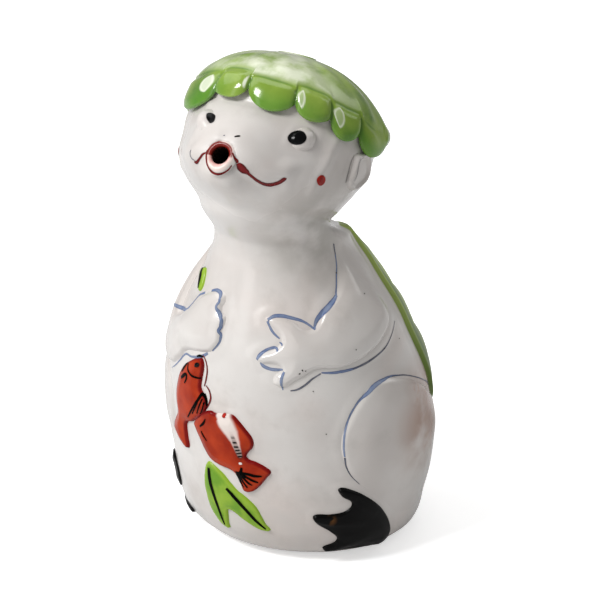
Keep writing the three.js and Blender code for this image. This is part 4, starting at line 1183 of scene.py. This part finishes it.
spotPieces = {
    # ellipses at (angle, up) with half sizes in mm and a turn, glaze's name and its two colours, slot, height
    "pupils": ([(37.8, 130.6, 2.25, 2.1, -14), (-13, 131.5, 1.94, 1.18, 150)],
               ("pupilGlaze", "060607", "101012"), "black_glaze", 0.1),
    "redDots": ([(62.9, 120.5, 2.2, 1.4, 149), (-62.9, 120.5, 2.2, 1.4, 31), (-3.8, 51.9, 0.8, 0.7, 0)],
                ("redSpotGlaze", "b8281a", "8c1812"), "fish_glaze", 0.1),
    "blackDots": ([(-19.6, 65.7, 1.1, 0.8, 28)],
                  ("blackSpotGlaze", "060505", "060505"), "black_glaze", 0.14),
    "burntSpecks": ([(81.5, 86.2, 0.35, 0.3, 0), (33.5, 68.5, 0.4, 0.3, 20), (35, 69.5, 0.35, 0.4, 0),
                     (63, 73.2, 0.3, 0.3, 0), (83, 70.2, 0.3, 0.3, 0), (99, 69.8, 0.3, 0.3, 0),
                     (38.5, 62.5, 0.3, 0.3, 0), (69, 94, 0.25, 0.3, 0), (36.4, 69.2, 0.25, 0.25, 0),
                     (41, 48, 0.25, 0.25, 0), (-38, 33, 0.3, 0.25, 0)],
                    ("speckGlaze", "2a2320", "2a2320"), "white_glaze", 0.05),
    # painted highlight on the lower fish
    "fishGlintDot": ([(2.8, 36.6, 0.6, 0.5, 0)],
                 ("fishGlintGlaze", "e8dcd8", "e8dcd8"), "white_glaze", 0.16),
}
for name, (spots, glaze, slot, out) in spotPieces.items():
    makeSpots(name, spots, makeSpotGlaze(*glaze), out)
print("spots ready")


# Floor, lamps and world
studio = {
    "floorSize": 4, "floorColour": "e1e1e1", "floorGlow": 0.5, "worldStrength": 0.26,
    # place in metres, aim, width, height, power in watts
    "lamps": {
        "highFront": ((-0.35, -0.75, 0.85), (0, 0, 0.09), 0.35, 0.35, 9.1),
        "highLeft": ((-0.62, -0.1, 0.85), (0, 0, 0.1), 0.6, 0.6, 1.9),
        "leftStrip": ((-0.42, -0.92, 0.32), (0, 0, 0.09), 0.3, 0.7, 0.9),
        "overhead": ((-0.16, 0.36, 0.92), (0, 0, 0.1), 0.7, 0.5, 1.6),
        "highRight": ((0.55, 0.65, 0.7), (0, 0, 0.07), 0.6, 0.6, 1.7),
    },
}


def makeLamp(name, place, aim, width, height, power):
    data = bpy.data.lights.new(name, "AREA")
    data.shape, data.size, data.size_y, data.energy = "RECTANGLE", width, height, power
    lamp = addObject(name, data)
    lamp.location = place
    lamp.rotation_euler = (Vector(aim) - Vector(place)).to_track_quat("-Z", "Y").to_euler()


def makeFloor():
    mesh = bpy.data.meshes.new("floor")
    bm = bmesh.new()
    bmesh.ops.create_grid(bm, x_segments=1, y_segments=1, size=studio["floorSize"] / 2)
    bm.to_mesh(mesh)
    bm.free()
    paint = Glaze("floorPaint", studio["floorColour"], roughness=0.9, coat=0)
    seen = paint.node("ShaderNodeLightPath", output="Is Camera Ray")
    paint.feed(Base_Color=paint.mix(studio["floorColour"], "ffffff", seen),
               Emission_Color=paint.mix("000000", "ffffff", seen))
    paint.shader.inputs["Emission Strength"].default_value = studio["floorGlow"]
    mesh.materials.append(paint.material)
    floor = addObject("floor", mesh)


for lampName, lampSetting in studio["lamps"].items():
    makeLamp(lampName, *lampSetting)
makeFloor()

world = bpy.data.worlds.new("studio")
bpy.context.scene.world = world
world.use_nodes = True
background = world.node_tree.nodes["Background"]
background.inputs["Color"].default_value = (1, 1, 1, 1)
background.inputs["Strength"].default_value = studio["worldStrength"]
print("studio ready")
